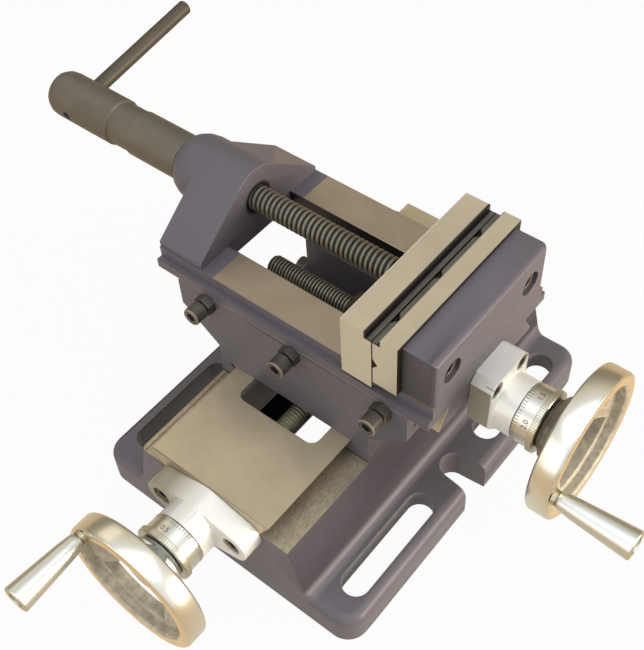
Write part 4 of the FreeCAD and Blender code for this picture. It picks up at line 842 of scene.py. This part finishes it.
# %% As cast
def as_cast(name, low, high):
    """The grainy skin that sand leaves, between two greys."""
    finish = Finish(name)
    grain = finish.noise(420.0, detail=4.0, rough=0.75)
    cloud = finish.noise(230.0)
    colour = finish.mix((grain * 0.7 + cloud * 1.6 - 0.65).clamp(), low, high)
    relief = finish.bump(grain, strength=0.6, depth=0.25 * MM)
    return finish.done(colour, 0.5 + 0.2 * grain, 0.25, relief)


cast_finish = as_cast("wheel_as_cast", srgb(156, 150, 132), srgb(228, 220, 198))
dark_hub = as_cast("hub_as_cast", srgb(92, 86, 77), srgb(146, 136, 118))
hub_finishes = {"upper": dark_hub, "lower": handle_finish}
print("wheels inside", cast_finish.name, [finish.name for finish in hub_finishes.values()])

# %% Black oxide and bronze
FRECKLE = srgb(118, 94, 74)
# Bronze darkened by old oil and by painted shade, as the nuts sit inside the vise
NUT_OIL_AND_SHADE_TONES = (srgb(58, 48, 36), srgb(90, 76, 54))


def black_oxide(name, low, high, rust):
    """Blackened steel. The higher rust is, the fewer brown freckles there are."""
    finish = Finish(name)
    cloud = finish.noise(46.0, detail=4.0, rough=0.65, warp=0.5)
    grain = finish.noise(800.0)
    freckle = finish.noise(110.0, detail=4.0, rough=0.75).above(rust, 0.16)
    colour = finish.mix((cloud * 1.2 + grain * 0.3 - 0.25).clamp(), low, high)
    colour = finish.mix(freckle * 0.45, colour, FRECKLE)
    rough = 0.42 + 0.16 * cloud + freckle * 0.2
    relief = finish.bump(grain, strength=0.25, depth=0.08 * MM)
    return finish.done(colour, rough, 0.45 - freckle * 0.3, relief)


head_finish = black_oxide("blackened_head", srgb(100, 94, 84), srgb(128, 121, 110), 0.66)
lever_finish = black_oxide("blackened_lever", srgb(72, 66, 57), srgb(102, 95, 83), 0.7)
bolt_finish = black_oxide("blackened_screws", srgb(46, 43, 41), srgb(108, 102, 93), 0.74)
screw_edge = black_oxide("rubbed_screw_edge", srgb(120, 112, 98), srgb(176, 168, 150), 0.8)
bronze_finish = plain_metal("nut_bronze", NUT_OIL_AND_SHADE_TONES, (900.0, 900.0, 60.0), 0.6)
print("dark", [finish.name for finish in (head_finish, lever_finish, bolt_finish, screw_edge, bronze_finish)])

# %% [markdown]
# ## Rounded copies of the imported pieces
#
# A real edge is never sharp: it catches a thin line of light. A imported piece is a loose
# set of triangles, so a copy is merged, its flat faces are joined again, and a Bevel
# modifier rounds each outward edge that turns by more than a set angle. Where edges
# crowd together a bevel would run past its faces. So the rounded copy is held against
# the imported piece, and an edge near a point that strays from it stays sharp. The copy
# then stands for the imported piece, on the same body.


def go_with(piece, node):
    """The piece rides the node's body."""
    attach(piece, nodes[node]["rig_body"])


def stand_for(piece, node):
    """The piece takes the node's place, too."""
    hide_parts(node)
    go_with(piece, node)


def set_down(name, shell, materials):
    """A new object made of the shell's faces, with the materials."""
    mesh = bpy.data.meshes.new(name)
    shell.to_mesh(mesh)
    for material in materials:
        mesh.materials.append(material)
    return add_object(name, mesh)


# %% Rounded copies
WELD = 0.002 * MM
FLAT = math.radians(0.4)
CREASE = math.radians(33.0)
STRAY = 0.35
CROWD = 2.5
ROUNDS_OF_LOOKING = 4


def keep_crowded_edges(piece, shell, width):
    """Takes the rounding off the edges near points of the rounded copy that stray from the piece."""
    surface = BVHTree.FromBMesh(shell)
    weights = piece.data.attributes["bevel_weight_edge"].data
    kept = 0
    for look in range(ROUNDS_OF_LOOKING):
        bpy.context.view_layer.update()
        seen = piece.evaluated_get(bpy.context.evaluated_depsgraph_get())
        strays = [v.co.copy() for v in seen.data.vertices if surface.find_nearest(v.co)[3] > STRAY * width]
        if not strays:
            break
        near = KDTree(len(strays))
        for count, spot in enumerate(strays):
            near.insert(spot, count)
        near.balance()
        for edge in piece.data.edges:
            ends = [piece.data.vertices[k].co for k in edge.vertices]
            if weights[edge.index].value and min(near.find(end)[2] for end in ends) < CROWD * width:
                weights[edge.index].value = 0.0
                kept += 1
    return kept


def rounded(node, materials, width, zone=None, reshape=None, edge_material=None):
    """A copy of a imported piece, its edges rounded by width mm. zone(face) picks each face's material."""
    shell = bmesh.new()
    shell.from_mesh(nodes[node].data)
    bmesh.ops.remove_doubles(shell, verts=shell.verts, dist=WELD)
    if reshape:
        reshape(shell)
    bmesh.ops.dissolve_limit(shell, angle_limit=FLAT, verts=shell.verts, edges=shell.edges)
    shell.normal_update()
    weight = shell.edges.layers.float.new("bevel_weight_edge")
    for edge in shell.edges:
        edge.smooth = len(edge.link_faces) == 2 and edge.calc_face_angle() < CREASE
        edge[weight] = float(not edge.smooth and edge.is_convex)
    for face in shell.faces:
        face.smooth = True
        face.material_index = zone(face) if zone else 0
    piece = set_down(node + "_rounded", shell, materials + ([edge_material] if edge_material else []))
    work = piece.modifiers.new("rounded_edges", "BEVEL")
    work.width = width * MM
    work.segments = 2
    work.limit_method = "WEIGHT"
    work.use_clamp_overlap = False
    work.harden_normals = True
    work.material = len(materials) if edge_material else -1
    kept = keep_crowded_edges(piece, shell, width * MM)
    print(node, "faces", len(shell.faces), "edges kept sharp", kept)
    shell.free()
    stand_for(piece, node)


# %% The three castings
CASTING_ROUND = 0.5
for node, finish in finishes.items():
    rounded(node, [finish], CASTING_ROUND, edge_material=worn_edges[node])

# %% [markdown]
# ## Foot strips
#
# Past the lower lead screw the hollow of the base is dark. Two low near-black strips,
# which stand in for the shade there, lie beside the nut's way with rounded edges and
# close most of the view to the table there. Each is a cube, scaled and bevelled before it
# becomes a mesh.

# %% Foot strips in the hollow of the base
STRIP_X = (24.8, 46.2)
STRIP_HALF_Y = 61.4
STRIP_Z = (0.8, 5.0)
STRIP_ROUND = 1.2


def oily_iron():
    """Near-black iron that stands in for the shade in the hollow of the base."""
    finish = Finish("oily_iron")
    grain = finish.noise(320.0, detail=4.0, rough=0.7)
    return finish.done(finish.mix(grain, srgb(24, 22, 22), srgb(52, 48, 46)), 0.6 + 0.2 * grain, 0.1)


def foot_strip(name, side, finish):
    """A low strip along one side of the hollow, right for 1 and left for -1."""
    shell = bmesh.new()
    bmesh.ops.create_cube(shell, size=1.0)
    middle = Vector((side * sum(STRIP_X) / 2, 0.0, sum(STRIP_Z) / 2)) * MM
    reach = Vector((STRIP_X[1] - STRIP_X[0], 2 * STRIP_HALF_Y, STRIP_Z[1] - STRIP_Z[0])) * MM
    for vert in shell.verts:
        vert.co = middle + Vector(a * b for a, b in zip(vert.co, reach))
    bmesh.ops.bevel(shell, geom=shell.edges[:], offset=STRIP_ROUND * MM, segments=3, affect="EDGES")
    strip = set_down(name, shell, [finish])
    shell.free()
    go_with(strip, "base_casting")
    print(name, "faces", len(strip.data.polygons))


strip_finish = oily_iron()
foot_strip("foot_strip_left", -1, strip_finish)
foot_strip("foot_strip_right", 1, strip_finish)

# %% Jaws, gibs, keeper plate, pins and nuts
JAW_ROUNDS = {"fixed_jaw_plate": 0.6, "movable_jaw": 0.55}
STEEL_ROUND = 0.15
NUT_ROUND = 0.3
for node, width in JAW_ROUNDS.items():
    rounded(node, [jaw_finish], width, edge_material=edge_finish)
for node in ("upper_gib", "lower_gib", "jaw_keeper_plate", "jaw_retaining_pins",
             "upper_wheel_pin", "lower_wheel_pin"):
    rounded(node, [steel_finish], STEEL_ROUND)
for node in ("upper_lead_nut", "lower_lead_nut"):
    rounded(node, [bronze_finish], NUT_ROUND)

# %% [markdown]
# ## The two spindle lines
#
# Everything on a lead screw's line repeats: bracket, dial, wheel and handle. Each line
# gets a matrix that takes its own frame to the world's, with the axis along X,
# starting at the face that the bracket is bolted to, and Z towards the handle. So each
# part is written once and used twice.

# %% Lines
QUARTER = math.pi / 2
LINE_STARTS = {
    "upper": Vector((85.2, 4.0, 98.0)) * MM,
    "lower": Vector((0.0, -111.3, 53.0)) * MM,
}
HEADINGS = {"upper": 0.0, "lower": -QUARTER}
HANDLE_TURNS = {"upper": 83.0, "lower": 40.5}


def line_frame(start, heading, handle_turn):
    """(frame without the wheel's turn, frame with it) of a spindle line."""
    still = Matrix.Translation(start) @ Matrix.Rotation(heading, 4, "Z")
    return still, still @ Matrix.Rotation(math.radians(handle_turn), 4, "X")


LINES = {
    which: line_frame(start, HEADINGS[which], HANDLE_TURNS[which])
    for which, start in LINE_STARTS.items()}
ALONG_X = Matrix.Rotation(QUARTER, 4, "Y")


def station(frame_matrix, distance):
    """A shape grown along its own Z, put on a line with its middle at that distance from the face."""
    return frame_matrix @ Matrix.Translation((distance * MM, 0, 0)) @ ALONG_X


def on_line(frame_matrix, point):
    """(distance along the line in mm, distance from its axis in mm) of a world point."""
    local = frame_matrix.inverted() @ point
    return local.x / MM, math.hypot(local.y, local.z) / MM


print("lines", list(LINES))

# %% Zones of a wheel
RIM_INSIDE_R = 33.8
RIM_FACE_R = 34.5
RIM_FACE_AT = 59.7
WEB_BACK_AT = 45.3
RIM, INSIDE, HUB_BACK, RIM_FACE = 0, 1, 2, 3


def wheel_zone(turned):
    """The plated rim, the part as cast inside it, hub and web seen from behind, or the rim's turned face."""
    def zone(face):
        spots = [on_line(turned, vert.co) for vert in face.verts]
        nearest = min(along for along, away in spots)
        reach = max(away for along, away in spots)
        if nearest > RIM_FACE_AT and reach > RIM_FACE_R:
            return RIM_FACE
        if reach > RIM_INSIDE_R:
            return RIM
        middle = face.calc_center_median()
        looks_back = on_line(turned, middle + face.normal * MM)[0] < on_line(turned, middle)[0]
        return HUB_BACK if looks_back or nearest < WEB_BACK_AT else INSIDE
    return zone


# %% Wheels, handles and brackets
WHEEL_ROUND = 0.4
HANDLE_ROUND = 0.3
STUD_ROUND = 0.2
BRACKET_ROUND = 0.5
for which, (still, turned) in LINES.items():
    wheel_finishes = [chrome_finish, cast_finish, hub_finishes[which], face_finish]
    rounded(which + "_handwheel", wheel_finishes, WHEEL_ROUND, zone=wheel_zone(turned))
    rounded(which + "_handle", [handle_finish], HANDLE_ROUND)
    rounded(which + "_handle_stud", [stud_finish], STUD_ROUND)
    rounded(which + "_screw_bracket", [bracket_finishes[which]], BRACKET_ROUND)

# %% [markdown]
# ## Threads
#
# A thread is a radius that depends on the place along the screw and round it. A
# cylinder with many sides and rows is grown, and Set Position moves each point in or
# out: the fraction of z / pitch - angle / turn says how far the point is between two
# crests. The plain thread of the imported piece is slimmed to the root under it.

# %% Thread tree
SIDES = 48
TOOTH_TOP = 2.05
TOOTH_SLOPE = 2.7
RUN_OUT = 1.2 * MM
thread = Shape("thread", crest=7.0 * MM, core=5.6 * MM, pitch=3.0 * MM, length=100.0 * MM, hand=1.0,
               rows=400, sides=SIDES)
size = thread.size
rod = thread.node("GeometryNodeMeshCylinder", dict(fill_type="NGON"), {
    "Vertices": size["sides"], "Side Segments": size["rows"], "Radius": size["crest"],
    "Depth": size["length"]}, "Mesh")
x, y, z = thread.place()
bearing = y.bearing(x) * (0.5 / math.pi)
wave = (z / size["pitch"] - bearing * size["hand"]).fraction()
tooth = (TOOTH_TOP - (wave * 2.0 - 1.0).abs() * TOOTH_SLOPE).clamp()
lead_in = ((size["length"] * 0.5 - z.abs()) * (1.0 / RUN_OUT)).clamp()
radius = size["core"] + (size["crest"] - size["core"]) * tooth * lead_in
scale = radius / size["crest"]
moved = thread.node("GeometryNodeSetPosition", None, {
    "Geometry": rod, "Position": thread.join(x * scale, y * scale, z)})
thread.done(thread.node("GeometryNodeSetShadeSmooth", None, {"Geometry": moved}))
print("thread tree", len(thread.tree.nodes), "nodes")

# %% Thread finishes
# Painted shade: near black in the thread's roots
ROOT_TONE = srgb(15, 13, 12)


def thread_steel(name, axis, place, shade_radius, tones):
    """Bright on the crests and near black in the roots up to the radius, as painted shade. The screw's axis
    runs through the place.
    """
    finish = Finish(name)
    grain = finish.noise(500.0)
    cloud = finish.noise(50.0)
    steel = finish.mix((grain * 0.6 + cloud * 0.6 - 0.1).clamp(), *tones)
    crest = finish.from_line(axis, place).above(shade_radius * MM, 0.3 * MM)
    colour = finish.mix(crest, ROOT_TONE, steel)
    relief = finish.bump(grain, strength=0.15, depth=0.05 * MM)
    return finish.done(colour, 0.36 + 0.2 * grain, 0.6 * crest, relief)


CLAMP_TONES = (srgb(98, 94, 82), srgb(148, 142, 126))
UPPER_TONES = (srgb(132, 126, 106), srgb(196, 190, 168))
LOWER_TONES = (srgb(132, 126, 100), srgb(196, 188, 158))
CLAMP_SHADE_R = 6.2
LEAD_SHADE_R = 5.5
clamp_steel = thread_steel("clamp_thread_steel", "x", CLAMP_PLACE, CLAMP_SHADE_R, CLAMP_TONES)
lead_steels = {
    "upper": thread_steel("upper_thread_steel", "x", LINE_STARTS["upper"], LEAD_SHADE_R, UPPER_TONES),
    "lower": thread_steel("lower_thread_steel", "y", LINE_STARTS["lower"], LEAD_SHADE_R, LOWER_TONES),
}
print("thread finishes", clamp_steel.name, [finish.name for finish in lead_steels.values()])

# %% Slimming, and adding a thread
HAIR = 0.01
THREAD_SKIN = 0.3
ROWS_PER_TURN = 12
RIGHT_HAND = 1.0
LEFT_HAND = -1.0


def slim(axis_frame, first, last, old, new):
    """Moves a plain thread's points, first to last mm along the axis, from the old radius to the new."""
    back = axis_frame.inverted()

    def reshape(shell):
        for vert in shell.verts:
            local = back @ vert.co
            along = local.x / MM
            away = math.hypot(local.y, local.z)
            if first - HAIR < along < last + HAIR and old - THREAD_SKIN < away / MM < old + HAIR:
                shrink = new * MM / away
                vert.co = axis_frame @ Vector((local.x, local.y * shrink, local.z * shrink))
    return reshape


def add_thread(node, axis_frame, first, last, crest, core, pitch, hand, finish):
    """A thread from first to last mm along the axis, right hand or left hand."""
    length = last - first
    piece = thread.grow(node + "_thread", finish, station(axis_frame, (first + last) / 2), crest=crest * MM,
                        core=core * MM, pitch=pitch * MM, length=length * MM, hand=hand,
                        rows=int(length / pitch * ROWS_PER_TURN), sides=SIDES)
    print(piece.name, len(piece.data.polygons), "faces")
    go_with(piece, node)


# %% The clamp screw and its lever
CLAMP_FRAME = Matrix.Translation(CLAMP_PLACE)
CLAMP_FROM, CLAMP_TO = -107.0, 35.0
CLAMP_PITCH = 3.0
CLAMP_R = 7.0
CLAMP_ROOT_R = 5.5
CLAMP_CREST_R = 6.98
CLAMP_CORE_R = 5.6
CLAMP_ROUND = 0.3
LEVER_ROUND = 0.4
HEAD, THREAD = 0, 1


def clamp_zone(face):
    """The blackened head, or the bright screw inside the vise."""
    return HEAD if face.calc_center_median().x / MM < CLAMP_FROM + 0.1 else THREAD


slim_clamp = slim(CLAMP_FRAME, CLAMP_FROM, CLAMP_TO, CLAMP_R, CLAMP_ROOT_R)
rounded("clamp_screw", [head_finish, clamp_steel], CLAMP_ROUND, zone=clamp_zone, reshape=slim_clamp)
rounded("clamp_lever", [lever_finish], LEVER_ROUND)
add_thread("clamp_screw", CLAMP_FRAME, CLAMP_FROM + 0.2, CLAMP_TO, CLAMP_CREST_R, CLAMP_CORE_R, CLAMP_PITCH,
           RIGHT_HAND, clamp_steel)

# %% The lead screws
LEAD_PITCH = 2.0
LEAD_R = 6.0
LEAD_ROOT_R = 4.9
LEAD_CREST_R = 5.98
LEAD_CORE_R = 4.95
LEAD_ROUND = 0.25
SHOULDER_AT = -2.0
HANDS = {"upper": RIGHT_HAND, "lower": LEFT_HAND}
for which, (still, turned) in LINES.items():
    node = which + "_lead_screw"
    free_end = min(on_line(still, corner)[0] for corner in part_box(node))
    slim_lead = slim(still, free_end, SHOULDER_AT, LEAD_R, LEAD_ROOT_R)
    rounded(node, [lead_steels[which]], LEAD_ROUND, reshape=slim_lead)
    add_thread(node, still, free_end + 0.3, SHOULDER_AT, LEAD_CREST_R, LEAD_CORE_R, LEAD_PITCH,
               HANDS[which], lead_steels[which])
    print(which, "free end", round(free_end, 1))

# %% [markdown]
# ## Dials
#
# A dial is a plated ring with a knurled rim, sixty fine marks and a number at every
# tenth mark. Marks and knurl ribs are the same thing, small bars in a ring, so one
# tree makes both: a circle of points and a bar on each. Every fifth mark is a little
# longer than the rest, and every tenth is the longest.

# %% A ring of bars
MARKS = 60
MARKS_TO_A_NUMBER = 10
ring = Shape("ring_of_bars", count=MARKS, radius=15.7 * MM, thick=0.1 * MM, wide=0.2 * MM, long=2.0 * MM,
             every=MARKS_TO_A_NUMBER, extra=0.0)
size = ring.size
points = ring.node("GeometryNodeMeshCircle", None, {"Vertices": size["count"], "Radius": size["radius"]})
bar = ring.node("GeometryNodeMeshCube", None, {
    "Size": ring.join(size["thick"], size["wide"], size["long"])}, "Mesh")
index = ring.node("GeometryNodeInputIndex")
x, y, z = ring.place()
is_tenth = 1.0 - index.remainder(size["every"]).above(0.5)
is_fifth = 1.0 - index.remainder(size["every"] * 0.5).above(0.5)
stretch = 1.0 + size["extra"] * (is_tenth * 0.6 + is_fifth * 0.4)
ring.done(ring.node("GeometryNodeInstanceOnPoints", None, {
    "Points": points, "Instance": bar,
    "Rotation": ring.join(0.0, 0.0, y.bearing(x)),
    "Scale": ring.join(1.0, 1.0, stretch)}))
print("ring tree", len(ring.tree.nodes), "nodes")


# %% Ink
def dial_ink():
    """Dark ink, a little worn."""
    finish = Finish("dial_ink")
    wear = finish.noise(600.0)
    return finish.done(finish.mix(wear, srgb(40, 36, 32), srgb(88, 80, 70)), 0.5, 0.2)


ink_finish = dial_ink()
print("ink", ink_finish.name)

# %% Numbers
DIAL_R = 15.7
NUMBER_AT = 29.9
NUMBER_SIZE = 4.002
INK_THICK = 0.03
TEXT_WELD = 0.0005 * MM
LABELS = ("0", "0.5", "1.0", "1.5", "2.0", "2.5")
LABEL_STEP = 360.0 / len(LABELS)
FIRST_LABEL = {"upper": 182.2, "lower": 55.3}


def flat_text(label):
    """The label's mesh, flat in XY and centred."""
    curve = bpy.data.curves.new("dial_number", "FONT")
    curve.body = label
    curve.size = NUMBER_SIZE * MM
    curve.align_x = "CENTER"
    curve.align_y = "CENTER"
    curve.extrude = INK_THICK * MM
    curve.resolution_u = 3
    flat = add_object("dial_number", curve)
    mesh = bpy.data.meshes.new_from_object(flat.evaluated_get(bpy.context.evaluated_depsgraph_get()))
    bpy.data.objects.remove(flat)
    return mesh


def dial_numbers(name, still, first_label):
    """The labels bent round the dial, in one piece. first_label is the zero's bearing in degrees."""
    whole = bmesh.new()
    for count, label in enumerate(LABELS):
        mesh = flat_text(label)
        middle = math.radians(first_label - LABEL_STEP * count)
        for vert in mesh.vertices:
            u, v, out = vert.co
            turn = middle + u / (DIAL_R * MM)
            away = DIAL_R * MM + out
            vert.co = still @ Vector((NUMBER_AT * MM - v, away * math.sin(turn), away * math.cos(turn)))
        whole.from_mesh(mesh)
    bmesh.ops.remove_doubles(whole, verts=whole.verts, dist=TEXT_WELD)
    bmesh.ops.recalc_face_normals(whole, faces=whole.faces)
    numbers = set_down(name, whole, [ink_finish])
    whole.free()
    return numbers


print("labels", LABELS, "every", LABEL_STEP, "degrees")

# %% Dials
MARK_FROM = 23.9
MARK_LONG = 2.1
KNURL_FROM = 32.6
KNURL_TO = 36.3
KNURL_R = 16.6
KNURL_LONG = 2.9
RIBS = 80
BAR_FACES = 6
DIAL_ROUND = 0.2
for which, (still, turned) in LINES.items():
    node = which + "_dial"
    rounded(node, [dial_finish], DIAL_ROUND)
    from_zero = still @ Matrix.Rotation(math.radians(FIRST_LABEL[which]), 4, "X")
    marks = ring.grow(node + "_marks", ink_finish, station(from_zero, MARK_FROM + MARK_LONG / 2),
                      count=MARKS, radius=DIAL_R * MM, thick=0.06 * MM, wide=0.26 * MM,
                      long=MARK_LONG * MM, every=MARKS_TO_A_NUMBER, extra=0.5)
    ribs = ring.grow(node + "_knurl", stud_finish, station(still, (KNURL_FROM + KNURL_TO) / 2),
                     count=RIBS, radius=KNURL_R * MM, thick=0.7 * MM, wide=0.55 * MM,
                     long=KNURL_LONG * MM, every=MARKS_TO_A_NUMBER, extra=0.0)
    numbers = dial_numbers(node + "_numbers", still, FIRST_LABEL[which])
    for piece in (marks, ribs, numbers):
        go_with(piece, node)
    print(node, "marks", len(marks.data.polygons) // BAR_FACES, "ribs", len(ribs.data.polygons) // BAR_FACES)

# %% [markdown]
# ## Screws and nuts
#
# The gib screws stand proud with their lock nuts, blackened and rubbed bright at the
# edges. Their rounding takes the bright finish.

# %% Screws
SCREW_ROUND = 0.3
for node in ("upper_gib_screws", "lower_gib_screws", "upper_gib_locknuts", "lower_gib_locknuts",
             "upper_bracket_screws", "lower_bracket_screws", "fixed_jaw_screws", "upper_nut_screws",
             "lower_nut_screws", "jaw_keeper_screws"):
    rounded(node, [bolt_finish], SCREW_ROUND, edge_material=screw_edge)

# %% [markdown]
# ## Sizes
#
# Looks may not make the vise larger. Its box before and after the dressing is
# measured, and how far it grew is printed.

# %% Sizes after the dressing
low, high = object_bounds()
grown = [round(v / MM, 2) for v in (*(cad_low - low), *(high - cad_high))]
print("grown by", grown, "mm")
